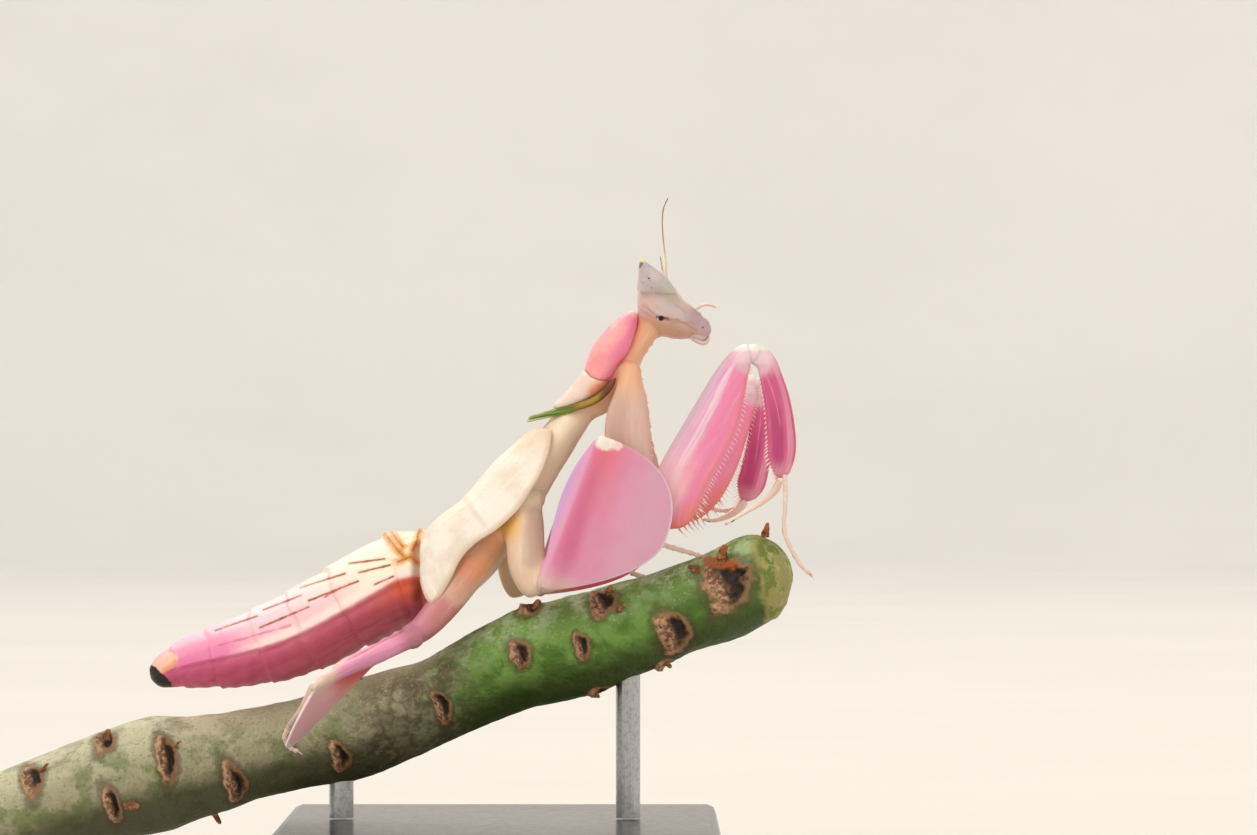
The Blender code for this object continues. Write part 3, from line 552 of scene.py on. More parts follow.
def surface(points, run, around, fields, material=0):
    """One closed surface from rings of points: quads between the rings and a fan over each end.

    points is rings by sides by 3. The surface's own map has the millimetres along it, one run for each
    ring, and those around it, rings by sides + 1, so that a pattern can close on itself. fields are rings by
    sides. The faces are turned so that the volume within them, a sum of a . (b x c) over their corners, is
    positive.
    """
    rings, sides = points.shape[:2]
    index = np.arange(rings * sides).reshape(rings, sides)
    after = np.roll(index, -1, axis=1)
    quads = np.stack([index[:-1], after[:-1], after[1:], index[1:]], axis=-1).reshape(-1, 4)
    pole = rings * sides
    first = np.stack([after[0], index[0], np.full(sides, pole)], axis=-1)
    last = np.stack([index[-1], after[-1], np.full(sides, pole + 1)], axis=-1)
    ends = points[[0, -1]].mean(axis=1)
    lie = np.stack([np.broadcast_to(run[:, None], around.shape), around], axis=-1)
    corners = np.stack([lie[:-1, :-1], lie[:-1, 1:], lie[1:, 1:], lie[1:, :-1]], axis=2).reshape(-1, 2)
    middle = lie[:, :-1].mean(axis=1)
    fan_first = np.stack([lie[0, 1:], lie[0, :-1], np.broadcast_to(middle[0], (sides, 2))], axis=1)
    fan_last = np.stack([lie[-1, :-1], lie[-1, 1:], np.broadcast_to(middle[-1], (sides, 2))], axis=1)
    every = np.vstack([points.reshape(-1, 3), ends])
    a, b, c, d = (every[quads[:, k]] for k in range(4))
    volume = (a * np.cross(b, c)).sum() + (a * np.cross(c, d)).sum()
    volume += (every[first[:, 0]] * np.cross(every[first[:, 1]], every[first[:, 2]])).sum()
    volume += (every[last[:, 0]] * np.cross(every[last[:, 1]], every[last[:, 2]])).sum()
    fans = np.vstack([first, last])
    fan_lie = np.concatenate([fan_first, fan_last])
    corners = corners.reshape(-1, 4, 2)
    if volume < 0:
        quads, fans = quads[:, ::-1], fans[:, ::-1]
        corners, fan_lie = corners[:, ::-1], fan_lie[:, ::-1]
    made = {"points": every, "quads": quads, "fans": fans, "fields": {}, "material": material}
    made.update(quad_lie=corners, fan_lie=fan_lie)
    for name, values in fields.items():
        add_field(made, name, np.broadcast_to(values, (rings, sides)))
    return made


def tube(
    centres, wide, high, sides, across=ACROSS, tangents=None, power=2.0, swell=None, ends=(0, 0), material=0
):
    """Rings of oval sections along a line of centres: wide along the across direction, high square to it.

    A section is |a / wide| ** power + |b / high| ** power = 1. The rings begin on the underside, and the
    field turn is 0 along the top and 1 along the underside. ends says over how many millimetres each end is
    rounded off like a ball. swell gives what a section is multiplied by, from the angle round it and the
    millimetres along the line.
    """
    angle = np.linspace(-math.pi / 2, 1.5 * math.pi, sides + 1)
    side_part = np.sign(np.cos(angle)) * np.abs(np.cos(angle)) ** (2 / power)
    high_part = np.sign(np.sin(angle)) * np.abs(np.sin(angle)) ** (2 / power)
    sideways, upward = sections(centres, across, tangents)
    run = run_of(centres)
    close = np.ones(len(run))
    for reach, away in zip(ends, (run, run[-1] - run)):
        if reach > 0:
            close *= round_end(away, reach, 0.0004)
    grow = np.ones((len(run), sides + 1)) if swell is None else swell(angle, run)
    out = wide[:, None] * close[:, None] * side_part * grow
    rise = high[:, None] * close[:, None] * high_part * grow
    points = ring_points(centres, sideways, upward, out, rise)
    girth = run_of(np.moveaxis(points, 1, 0)).T
    fields = {"turn": turn_of(angle[:-1]), "along": (run / run[-1])[:, None]}
    made = surface(points[:, :-1], run, girth - girth[:, -1:] / 2, fields, material)
    sizes = np.column_stack([wide * close, high * close])
    made["core"] = (centres, sideways, upward, sizes, np.gradient(sizes, run, axis=0))
    return made


def outside(core, points):
    """How far points lie outside a tube, in millimetres, and the direction straight out of it."""
    centres, sideways, upward, sizes, slopes = core
    nearest = np.argmin(((points[:, None, :] - centres) ** 2).sum(-1), axis=1)
    away = points - centres[nearest]
    sideways, upward = sideways[nearest], upward[nearest]
    tangent = np.cross(sideways, upward)
    along = (away * tangent).sum(-1)
    last = len(centres) - 1
    past = np.where(((nearest == 0) & (along < 0)) | ((nearest == last) & (along > 0)), along, 0.0)
    size = np.maximum(sizes[nearest] + slopes[nearest] * (along - past)[:, None], 0.05)
    a, b = (away * sideways).sum(-1), (away * upward).sum(-1)
    rho = np.maximum(np.sqrt((a / size[:, 0]) ** 2 + (b / size[:, 1]) ** 2), 1e-6)
    gap = np.hypot(a, b) * (1 - 1 / rho)
    out = (a / size[:, 0] ** 2)[:, None] * sideways + (b / size[:, 1] ** 2)[:, None] * upward
    out = unit(out) * np.maximum(gap, 0.05)[:, None] + past[:, None] * tangent
    gap = np.where(past != 0, np.hypot(np.maximum(gap, 0), past), gap)
    return gap, unit(out)


def normals_of(made):
    """A unit normal for each point of a surface, from the faces around it."""
    points, normals = made["points"], np.zeros_like(made["points"])
    for faces in (made["quads"], made["fans"]):
        a, b, c = points[faces[:, 0]], points[faces[:, 1]], points[faces[:, 2]]
        d = points[faces[:, -1]]
        face = np.cross(c - a, d - b) if faces.shape[1] == 4 else np.cross(b - a, c - a)
        for corner in range(faces.shape[1]):
            np.add.at(normals, faces[:, corner], face)
    return normals / np.maximum(np.linalg.norm(normals, axis=1, keepdims=True), 1e-12)


def fillet(made, core, reach):
    """Moves a surface out to the smooth union of itself and a tube, so that the two flow into each other.

    The union is b (1 - h) + a h - reach h (1 - h), where a and b are the distances from the surface and from
    the tube, and h goes from 0 to 1 across the line where the two are equal. A few Newton steps find it. The
    union's own normals are kept for both surfaces, so that their shading meets without a line.
    """
    points, normals = made["points"], normals_of(made)
    given = made.setdefault("normals", np.full(points.shape, np.nan))
    start, _ = outside(core, points)
    near = np.flatnonzero(np.abs(start) < reach)
    if not len(near):
        return
    moved, normal, fixed = points[near].copy(), normals[near], points[near]
    for _ in range(4):
        own = ((moved - fixed) * normal).sum(-1)
        other, out = outside(core, moved)
        h = np.clip(0.5 + 0.5 * (other - own) / reach, 0, 1)
        value = other * (1 - h) + own * h - reach * h * (1 - h)
        slope = (1 - h)[:, None] * out + h[:, None] * normal
        steep = np.maximum((slope**2).sum(-1), 0.3)
        moved = moved - np.clip(value / steep, -0.3 * reach, 0.3 * reach)[:, None] * slope
    share = eased(start[near], -0.45 * reach, -0.15 * reach)[:, None]
    points[near] = fixed + share * (moved - fixed)
    given[near] = unit(slope)


def spread(count):
    """Places from 0 to 1 that crowd towards both ends."""
    return (1 - np.cos(np.linspace(0, math.pi, count))) / 2


def limb(rows, side, mesh, material, ends, swell=None, shift=(0, 0, 0), shift_from=1.0):
    """A tube through rows of x, y, z, half thickness across the body and half depth in profile.

    mesh is its rings and sides. On the left side it moves by the shift: by the share shift_from of it at its
    first row, and in full at its last.
    """
    rings, sides = mesh
    places = spread(rings)
    values = smooth_rows(rows, places)
    centres = placed(values[:, :3], side)
    if side == LEFT:
        share = np.clip(shift_from + (1 - shift_from) * places, 0, 1)
        centres = centres + share[:, None] * np.asarray(shift)
    return tube(centres, values[:, 3], values[:, 4], sides, swell=swell, ends=ends, material=material)


def rod(points, radii, rings, sides, knots=(), material=0):
    """A round limb through points. radii are millimetres at even places, and it swells at its knots."""
    places = spread(rings)
    centres = smooth_rows(points, places)
    radius = np.interp(places, np.linspace(0, 1, len(radii)), radii)
    for knot in knots:
        radius = radius * (1 + marks(places, (0.28, knot, 0.022), (-0.18, knot + 0.04, 0.02)))
    return tube(centres, radius, radius, sides, (0.3, 1.0, 0.2), ends=(0.2, 0.2), material=material)


def petal(base, knee, lobe, radii, lobe_width, creases, material, back=0.0, cup=0.0):
    """A leg segment with a flat lobe: a rod from base to knee whose sections run out along the lobe.

    radii are millimetres at the base and the knee, and lobe_width gives millimetres at places from 0 at the
    base to 1 at the knee. back is how far a narrow lobe stands out behind the rod, and cup bends the middle
    of the margin to one side. creases are ridges, as share of the width, height and reach in millimetres.
    The field rim is the distance from the margin, up to 3.
    """
    rings, columns = PETAL_MESH
    places = 1.0095 * spread(rings) - 0.001
    centres = np.asarray(base) + places[:, None] * (np.asarray(knee) - np.asarray(base))
    outward, normal = sections(centres, lobe)
    inside = np.clip(places, 0, 1)
    width = lobe_width(places)[:, None]
    ends = round_end(places, 0.035, 0.002)[:, None]
    knee_round = round_end(1.01 - places, 0.04, 0.01)[:, None]
    radius = (radii[0] + (radii[1] - radii[0]) * inside)[:, None] * knee_round
    arch = np.sin(math.pi * inside[:, None])
    rear = radius + back * np.sin(math.pi * inside[:, None] ** 1.4)
    share = np.linspace(0, 1, columns + 1)
    reach = -rear + (width + rear) * (1 - np.cos(math.pi * share)) / 2
    fade = np.exp(-((reach / (1.3 * radius)) ** 2))
    thick = (LOBE_EDGE + np.clip(radius - LOBE_EDGE, 0, None) * fade) * np.sin(math.pi * share) ** 0.4
    across = np.clip(reach / width, 0, 1)
    lift = cup * across**2 * arch
    ridge = sum(high * bump_at(across * width, place * width, wide) * arch for place, high, wide in creases)
    thick = thick * ends
    thick[:, [0, -1]] = 0.0
    reach = folded(reach, reach) * (0.3 + 0.7 * ends)
    points = ring_points(
        centres, outward, normal, reach, folded(lift + thick + ridge * (thick > 0), lift - thick)
    )
    run = np.linalg.norm(np.asarray(knee) - np.asarray(base)) * places
    fields = {"along": inside[:, None], "rim": np.clip(width - reach, 0, 3)}
    return surface(points, run, closed(reach), fields, material)


def spikes(bases, tips, radius, bow=(0, 0, 0)):
    """Small curved spines, each a tapering ring grid from base to tip, bowed to one side in the middle."""
    rings, sides = SPIKE_MESH
    bases, tips = np.asarray(bases, float), np.asarray(tips, float)
    radius = np.broadcast_to(radius, len(bases))
    places = np.linspace(0, 1, rings)
    shape = 1.02 - places**1.3
    axis = unit(tips - bases)
    helper = unit(np.cross(axis, np.where(np.abs(axis[:, 1:2]) > 0.9, (1.0, 0, 0), (0, 1.0, 0))))
    other = np.cross(axis, helper)
    middle = bases[:, None] + places[None, :, None] * (tips - bases)[:, None]
    middle = middle + np.sin(math.pi * places)[None, :, None] * np.asarray(bow, float)
    angle = np.arange(sides) * 2 * math.pi / sides
    ring = np.cos(angle)[None, :, None] * helper[:, None] + np.sin(angle)[None, :, None] * other[:, None]
    points = middle[:, :, None] + (radius[:, None] * shape)[:, :, None, None] * ring[:, None]
    run = np.linalg.norm(tips - bases, axis=1)[:, None] * places
    flat, fields = np.zeros((rings, sides + 1)), {"along": places[:, None]}
    return [surface(grid, length, flat, fields) for grid, length in zip(points, run)]


def add_piece(name, surfaces, materials, replaces=(), sharp=50.0):
    """Joins surfaces into one object, in metres, with its UV map, its fields and its materials."""
    offset, points, faces, lie, slots = 0, [], [], [], []
    for part in surfaces:
        points.append(part["points"])
        faces += (part["quads"] + offset).tolist() + (part["fans"] + offset).tolist()
        lie += [part["quad_lie"].reshape(-1, 2), part["fan_lie"].reshape(-1, 2)]
        slots.append(np.full(len(part["quads"]) + len(part["fans"]), part["material"], np.int32))
        offset += len(part["points"])
    mesh = bpy.data.meshes.new(name)
    mesh.from_pydata(np.concatenate(points) * MM, [], faces)
    mesh.uv_layers.new(name=LIE).data.foreach_set("uv", np.concatenate(lie).astype(np.float32).ravel())
    for field in sorted({field for part in surfaces for field in part["fields"]}):
        values = [part["fields"].get(field, np.zeros(len(part["points"]))) for part in surfaces]
        store = mesh.attributes.new(field, "FLOAT", "POINT")
        store.data.foreach_set("value", np.concatenate(values).astype(np.float32))
    for material in materials:
        mesh.materials.append(material)
    mesh.polygons.foreach_set("material_index", np.concatenate(slots))
    mesh.shade_smooth()
    mesh.set_sharp_from_angle(angle=math.radians(sharp))
    mesh.update()
    if any("normals" in part for part in surfaces):
        given = [part.get("normals", np.full(part["points"].shape, np.nan)) for part in surfaces]
        corners, holders = np.empty((len(mesh.loops), 3), np.float32), np.empty(len(mesh.loops), np.int32)
        mesh.corner_normals.foreach_get("vector", corners.reshape(-1))
        mesh.loops.foreach_get("vertex_index", holders)
        given = np.concatenate(given)[holders]
        mesh.normals_split_custom_set(np.where(np.isnan(given), corners, given))
    piece = bpy.data.objects.new(name, mesh)
    bpy.context.scene.collection.objects.link(piece)
    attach(piece, BODY)
    if replaces:
        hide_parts(*replaces)


def both(*names):
    """Node names for the two sides of the body."""
    return [f"{name}_{side}" for name in names for side in SIDES]


# -----------------------------------------------------------------------------
# Materials
# -----------------------------------------------------------------------------
def linear(hexadecimal):
    """Linear red, green and blue of an sRGB colour such as #F4C2D0."""
    parts = [int(hexadecimal[k : k + 2], 16) / 255 for k in (1, 3, 5)]
    return tuple(p / 12.92 if p <= 0.04045 else ((p + 0.055) / 1.055) ** 2.4 for p in parts)


def colour_of(name):
    """A colour given as an sRGB value or as the name of one of the panel's colours."""
    if name.startswith("#"):
        return linear(name)
    return tuple(getattr(bpy.context.scene.mantis_colours, name))


def set_inputs(material, node, inputs):
    """Gives each of a node's inputs, by name or number, a value or another node's output."""
    for key, value in inputs.items():
        socket = node.inputs[key]
        if isinstance(value, bpy.types.NodeSocket):
            material.node_tree.links.new(value, socket)
        else:
            socket.default_value = value


def add_node(material, kind, inputs, **settings):
    """Adds a node with its inputs and settings."""
    node = material.node_tree.nodes.new(kind)
    for name, value in settings.items():
        setattr(node, name, value)
    set_inputs(material, node, inputs)
    return node


def maths(material, operation, *values, **settings):
    """The output of a maths node on numbers or outputs."""
    inputs = dict(enumerate(values))
    return add_node(material, "ShaderNodeMath", inputs, operation=operation, **settings).outputs[0]


def vector_maths(material, operation, *values, output="Vector"):
    """The output of a vector maths node on vectors or outputs."""
    inputs = dict(enumerate(values))
    return add_node(material, "ShaderNodeVectorMath", inputs, operation=operation).outputs[output]


def noise(material, vector, scale, roughness):
    """The output of a noise of three octaves."""
    settings = {"Vector": vector, "Scale": scale, "Detail": 3.0, "Roughness": roughness}
    return add_node(material, "ShaderNodeTexNoise", settings).outputs[0]


def profile_from(material, place, start):
    """The way from a start to each point, seen in profile: without its part along Y."""
    away = vector_maths(material, "SUBTRACT", place, start)
    return vector_maths(material, "MULTIPLY", away, (1, 0, 1))


def line_distance(material, place, start_x, start_z, end_x, end_z):
    """Millimetres in profile from each point to a line between two places.

    With p the way from the line's start to the point and s the line itself, the nearest place on the line is
    s times clamp(p . s / s . s), and the distance is the length of p less that.
    """
    step = (end_x - start_x, 0.0, end_z - start_z)
    flat = profile_from(material, place, (start_x, 0.0, start_z))
    part = vector_maths(material, "DOT_PRODUCT", flat, step, output="Value")
    part = maths(material, "MULTIPLY", part, 1 / (step[0] ** 2 + step[2] ** 2), use_clamp=True)
    foot = add_node(material, "ShaderNodeVectorMath", {0: step, "Scale": part}, operation="SCALE")
    gap = vector_maths(material, "SUBTRACT", flat, foot.outputs[0])
    return vector_maths(material, "LENGTH", gap, output="Value")


def reader(material):
    """A function that gives the output for what a material reads at a point.

    x, y and z are millimetres in the model's frame, and u and v millimetres along and across the surface.
    ("mottle", size) is noise and ("cells", size) the distance from the middles of cells, of that size in
    millimetres. ("streak", long, wide) is noise stretched along the surface. ("slant", a, b) is a x + b z.
    ("from", x, 0, z) is the distance in profile from a place, and ("line", x, z, x, z) that from a line.
    Any other name is one of the piece's own fields.
    """
    known = {}

    def found(kind, *sizes):
        if kind == "place":
            place = add_node(material, "ShaderNodeTexCoord", {}).outputs["Object"]
            return vector_maths(material, "MULTIPLY", place, (1 / MM,) * 3)
        if kind == "lie":
            return add_node(material, "ShaderNodeUVMap", {}, uv_map=LIE).outputs[0]
        if kind == "parts":
            return add_node(material, "ShaderNodeSeparateXYZ", {0: read(sizes[0])}).outputs
        if kind in ("x", "y", "z"):
            return read(("parts", "place"))["xyz".index(kind)]
        if kind in ("u", "v"):
            return read(("parts", "lie"))["uv".index(kind)]
        if kind == "mottle":
            return noise(material, read("place"), 1 / sizes[0], 0.6)
        if kind == "streak":
            drawn = vector_maths(material, "MULTIPLY", read("lie"), (1 / sizes[0], 1 / sizes[1], 1.0))
            return noise(material, drawn, 1.0, 0.55)
        if kind == "cells":
            settings = {"Vector": read("place"), "Scale": 1 / sizes[0]}
            return add_node(material, "ShaderNodeTexVoronoi", settings).outputs["Distance"]
        if kind == "slant":
            facing = (sizes[0], 0.0, sizes[1])
            return vector_maths(material, "DOT_PRODUCT", read("place"), facing, output="Value")
        if kind == "line":
            return line_distance(material, read("place"), *sizes)
        if kind == "from":
            flat = profile_from(material, read("place"), sizes)
            return vector_maths(material, "LENGTH", flat, output="Value")
        return add_node(material, "ShaderNodeAttribute", {}, attribute_name=kind).outputs["Fac"]

    def read(name):
        if name not in known:
            known[name] = found(*name) if isinstance(name, tuple) else found(name)
        return known[name]

    return read


def edge_share(material, read, edge):
    """The output of one edge: 0 at its start and 1 at its end, eased in between.

    An edge is what it reads, its start and its end. Two more numbers say how far noise shakes it and the
    size of that noise in millimetres.
    """
    name, start, end, *shake = edge
    value = read(name)
    if shake:
        size = shake[1] if len(shake) > 1 else SHAKE_SIZE
        drift = maths(material, "MULTIPLY_ADD", read(("mottle", size)), 2 * shake[0], -shake[0])
        value = maths(material, "ADD", value, drift)
    limits = {"Value": value, "From Min": start, "From Max": end}
    return add_node(material, "ShaderNodeMapRange", limits, interpolation_type="SMOOTHSTEP").outputs[0]


def washed(material, read, ground, washes):
    """A ground colour under washes: each a colour, its strength and the edges that it keeps within."""
    shade = (*colour_of(ground), 1.0)
    for colour, strength, *edges in washes:
        share = strength
        for edge in edges:
            share = maths(material, "MULTIPLY", edge_share(material, read, edge), share)
        mixed = {0: share, 6: shade, 7: (*colour_of(colour), 1.0)}
        shade = add_node(material, "ShaderNodeMix", mixed, data_type="RGBA").outputs[2]
    return shade


SHAKE_SIZE = 0.9  # millimetres, of the noise that shakes an edge
WEAR_SIZE, WEAR_SPAN = 0.6, (0.25, 0.75)  # of the noise that roughness follows
FLESH_REACH, FLESH_TINT = 0.5, (1.0, 0.45, 0.4)  # how far light goes under the surface, and its tint


def make_material(name, ground, washes, roughness, relief=(), ior=1.5, flesh=0.0, metallic=0.0, coat=0.0):
    """A material from its ground colour and washes, its lowest and highest roughness, and its relief.

    relief lists what raises the surface and by how many millimetres. flesh is the share of light that passes
    under the surface, and coat the strength of a clear coat.
    """
    material = bpy.data.materials.new(name)
    material.use_nodes = True
    read = reader(material)
    spans = zip(("From Min", "From Max", "To Min", "To Max"), (*WEAR_SPAN, *roughness))
    worn = {"Value": read(("mottle", WEAR_SIZE)), **dict(spans)}
    inputs = {
        "Base Color": washed(material, read, ground, washes),
        "Roughness": add_node(material, "ShaderNodeMapRange", worn).outputs[0],
        "IOR": ior,
        "Metallic": metallic,
        "Coat Weight": coat,
    }
    height = 0.0
    for source, depth in relief:
        height = maths(material, "MULTIPLY_ADD", read(source), depth, height)
    if relief:
        bump = {"Height": height, "Distance": MM, "Strength": 1.0}
        inputs["Normal"] = add_node(material, "ShaderNodeBump", bump).outputs[0]
    if flesh > 0:
        inputs.update({"Subsurface Weight": flesh, "Subsurface Radius": FLESH_TINT})
        inputs["Subsurface Scale"] = FLESH_REACH * MM
    set_inputs(material, material.node_tree.nodes["Principled BSDF"], inputs)
    return material


# Lines on the abdomen in profile, as x, z, x and z: brown dashes along its back, and folds at its front
BACK_LINES = [
    (-12.3, 26.0, -9.35, 26.4),
    (-16.3, 24.0, -12.6, 25.2),
    (-19.3, 22.2, -16.2, 23.4),
    (-23.25, 20.5, -19.8, 21.7),
    (-11.4, 25.3, -8.9, 25.9),
    (-15.5, 23.0, -11.5, 24.6),
    (-19.5, 20.8, -15.5, 22.5),
    (-10.1, 24.35, -8.6, 25.0),
]
FRONT_FOLDS = [
    (-9.4, 28.45, -8.16, 27.0),
    (-8.16, 27.0, -7.8, 26.6),
    (-6.64, 28.8, -6.8, 27.7),
    (-6.8, 27.7, -7.05, 27.06),
    (-8.86, 28.5, -7.87, 27.4),
    (-8.2, 26.2, -7.2, 26.6),
    (-7.2, 26.6, -6.7, 26.1),
]


def abdomen_cuticle():
    """Waxy cuticle: a cream back that turns pink to the rear, crimson sides and brown broken lines, with
    painted shade in the front folds and along the wing pads' rear edge.
    """
    washes = [
        ("dorsal_cream", 1.0, ("x", -18.5, -10.5, 1.2)),
        ("petal_pink", 0.75, ("x", -19.0, -25.5, 0.8)),
        ("#F7B8C6", 0.6, ("turn", 0.25, 0.36, 0.04), ("turn", 0.47, 0.4, 0.03), ("x", -9.5, -14.0, 1.0)),
        ("#F08FB8", 0.8, ("turn", 0.2, 0.3, 0.05), ("x", -19.5, -23.0, 0.8)),
        ("#E66CA6", 0.7, ("turn", 0.3, 0.4, 0.05, 1.4), ("x", -17.5, -24.0, 1.2)),
        (
            "#FDE9E2", 0.8, ("turn", 0.38, 0.44, 0.02, 1.2), ("turn", 0.515, 0.48, 0.012, 1.2),
            ("x", -22.5, -18.0, 1.0),
        ),
        ("#F3A583", 0.5, (("mottle", 1.6), 0.52, 0.66), ("x", -13.0, -9.0, 0.8), ("turn", 0.3, 0.45)),
        ("side_crimson", 0.92, ("turn", 0.465, 0.55, 0.03, 1.6)),
        ("#D8608F", 0.8, ("turn", 0.465, 0.55, 0.03, 1.6), ("x", -16.0, -24.0, 1.2)),
        (
            "#EE95A6", 0.55, ("turn", 0.5, 0.535, 0.01), ("turn", 0.6, 0.55, 0.01),
            (("streak", 5.0, 0.6), 0.4, 0.65),
        ),
        ("#BC4868", 0.5, ("turn", 0.6, 0.75), (("streak", 6.0, 0.8), 0.55, 0.4)),
        ("#D8685C", 0.75, ("x", -13.0, -7.5, 1.0), ("turn", 0.44, 0.52, 0.03), ("turn", 0.82, 0.6, 0.05)),
        ("#A84058", 0.5, ("turn", 0.8, 0.98)),
        ("#F2B59C", 0.3, ("share", 0.9, 0.98), ("turn", 0.55, 0.4, 0.05)),
        ("#E2603A", 0.75, ("x", -10.2, -7.8, 0.6), ("turn", 0.46, 0.52, 0.03), ("turn", 0.72, 0.58, 0.05)),
        ("#F0B04C", 0.6, ("x", -9.4, -8.2, 0.3), ("turn", 0.4, 0.3, 0.06), (("mottle", 0.7), 0.45, 0.6)),
    ]
    # Ochre bands with brown cores along the front folds: the ochre is partly their own colour and partly
    # painted shade, and the brown cores are painted shade in the creases.
    for fold in FRONT_FOLDS:
        washes.append(("#E8A03A", 0.8, (("line", *fold), 0.5, 0.1, 0.12, 0.4)))
    for fold in FRONT_FOLDS:
        washes.append(("#A5501C", 0.75, (("line", *fold), 0.16, 0.0, 0.08, 0.3)))
    for place in BACK_LINES:
        washes.append(("#D9866A", 0.45, (("line", *place), 0.22, 0.05, 0.1, 0.5)))
        washes.append(("dash_brown", 0.9, (("line", *place), 0.1, 0.03, 0.1, 0.7)))
    washes += [
        ("#C2503E", 0.8, (("line", -14.2, 23.3, -13.0, 24.0), 0.12, 0.05, 0.08, 0.5)),
        ("#D2607A", 0.6, (("line", -23.0, 19.3, -17.0, 21.0), 0.14, 0.05, 0.2, 1.0)),
        # Painted shadow: dark brown down the abdomen's front, along the wing pads' rear edge.
        ("#8A3A1A", 0.7, (("line", -6.7, 27.4, -6.7, 23.4), 0.75, 0.1, 0.15, 0.6)),
        ("#F6CBAE", 0.9, (("line", -27.9, 17.5, -26.9, 18.2), 0.75, 0.45, 0.12, 0.5)),
        ("#E98F6A", 0.6, (("line", -27.4, 17.2, -26.5, 17.9), 0.35, 0.1, 0.1, 0.4)),
        ("#1B1310", 1.0, (("line", -28.6, 16.9, -27.6, 15.95), 0.82, 0.66, 0.1, 0.4)),
    ]
    relief = [(("mottle", 0.16), 0.02), (("streak", 3.0, 0.3), 0.03)]
    return make_material("waxy_cuticle_abdomen", "#FBD2DA", washes, (0.34, 0.5), relief, flesh=0.12)


def trunk_cuticle():
    """Thin, clear cuticle of thorax, neck and rear hips: cream, with orange, mauve and salmon low down."""
    washes = [
        ("#FAE2C4", 0.8, (("slant", 0.8, -0.6), -18.6, -16.6, 0.4)),
        ("neck_peach", 1.0, ("z", 37.0, 40.0, 0.8)),
        ("#E8B48C", 0.6, ("z", 43.0, 46.0, 0.6), (("slant", 0.8, -0.6), -18.5, -17.0)),
        ("#E2C3A6", 0.9, ("z", 31.4, 29.0, 0.8), ("x", 0.0, 1.2, 0.3)),
        ("#C4A292", 0.75, (("line", 2.9, 30.0, 2.7, 26.5), 1.2, 0.3, 0.3, 1.2)),
        ("#E6CBB8", 0.8, ("z", 25.2, 23.8, 0.3), ("x", 1.0, 3.0)),
        ("#E4C4AA", 0.9, ("x", 1.6, 0.8, 0.2), ("z", 28.0, 26.4, 0.4)),
        ("#EBB050", 0.9, (("from", 0.5, 0.0, 29.2), 1.9, 0.6, 0.3, 1.2)),
        ("#E4966A", 0.9, (("line", -0.9, 27.6, -2.4, 25.4), 1.9, 0.7, 0.3, 1.2)),
        ("#D99A84", 0.8, (("from", -2.9, 0.0, 24.2), 1.5, 0.5, 0.3, 1.2)),
        ("#C97A80", 0.9, (("slant", 0.6, 0.8), 17.4, 15.4, 0.5)),
        ("#CC8494", 0.95, ("x", -4.8, -6.6, 0.4)),
        ("#F4E3D0", 0.35, (("streak", 4.0, 0.8), 0.52, 0.72), ("x", -5.0, -3.5)),
    ]
    relief = [(("mottle", 0.25), 0.02), (("streak", 4.0, 0.6), 0.04)]
    return make_material("thin_cuticle_trunk", "#FAE8CC", washes, (0.32, 0.48), relief, flesh=0.16)


def head_cuticle():
    """Hard head capsule: pale lilac grey, peach brown below the cheek, with a near-black painted shadow by
    the mandible, in the gap where cheek meets neck.
    """
    washes = [
        ("#E2BDB2", 0.7, ("z", 48.4, 47.6, 0.2), ("x", 13.4, 12.2, 0.3)),
        (
            "#D2C1A6", 0.6, ("from_crown", 0.3, 0.4, 0.02), ("from_crown", 0.56, 0.46, 0.03),
            ("face", 0.1, 0.6, 0.1),
        ),
        ("#CFA088", 0.8, ("from_crown", 0.4, 0.62, 0.04), ("face", 0.2, -0.35, 0.14, 0.6)),
        ("#B9979F", 0.75, ("from_crown", 0.6, 0.78, 0.04), ("face", -0.5, 0.3, 0.1)),
        ("#E8B89A", 0.4, ("from_crown", 0.5, 0.6), ("from_crown", 0.72, 0.66), ("face", 0.2, 0.7)),
        ("#F3DCC8", 0.7, ("face", 0.86, 0.97, 0.03)),
        ("#B9897A", 0.4, (("line", 11.6, 46.7, 12.7, 46.05), 0.22, 0.0, 0.07, 0.4)),
        ("#A66E58", 0.55, (("line", 13.2, 46.0, 14.6, 45.9), 0.16, 0.03, 0.08, 0.4)),
        ("#B98470", 0.5, (("line", 14.6, 45.9, 16.2, 45.0), 0.14, 0.03, 0.08, 0.4)),
        ("#A8887E", 0.3, (("line", 14.3, 47.2, 15.2, 46.5), 0.16, 0.0, 0.07, 0.3)),
        ("#8A8088", 0.45, (("mottle", 0.3), 0.62, 0.7), ("from_crown", 0.6, 0.75)),
        ("#DDAA8A", 0.7, (("line", 12.0, 45.7, 13.7, 44.7), 0.85, 0.25, 0.12, 0.6)),
        ("#7A4632", 0.8, (("line", 12.85, 46.12, 13.75, 46.02), 0.15, 0.04, 0.08, 0.3)),
        # Painted shadow: a near-black spot in the gap where cheek meets neck.
        ("#1E0B0A", 1.0, (("from", 13.2, 0.0, 46.04), 0.27, 0.17, 0.07, 0.3)),
        ("#4B3640", 0.8, (("from", 16.62, 0.0, 45.3), 0.11, 0.05)),
    ]
    relief = [(("mottle", 0.14), 0.015), (("cells", 0.35), -0.02), (("mottle", 0.5), 0.04)]
    return make_material("hard_cuticle_head", "head_lilac", washes, (0.32, 0.46), relief, flesh=0.12)


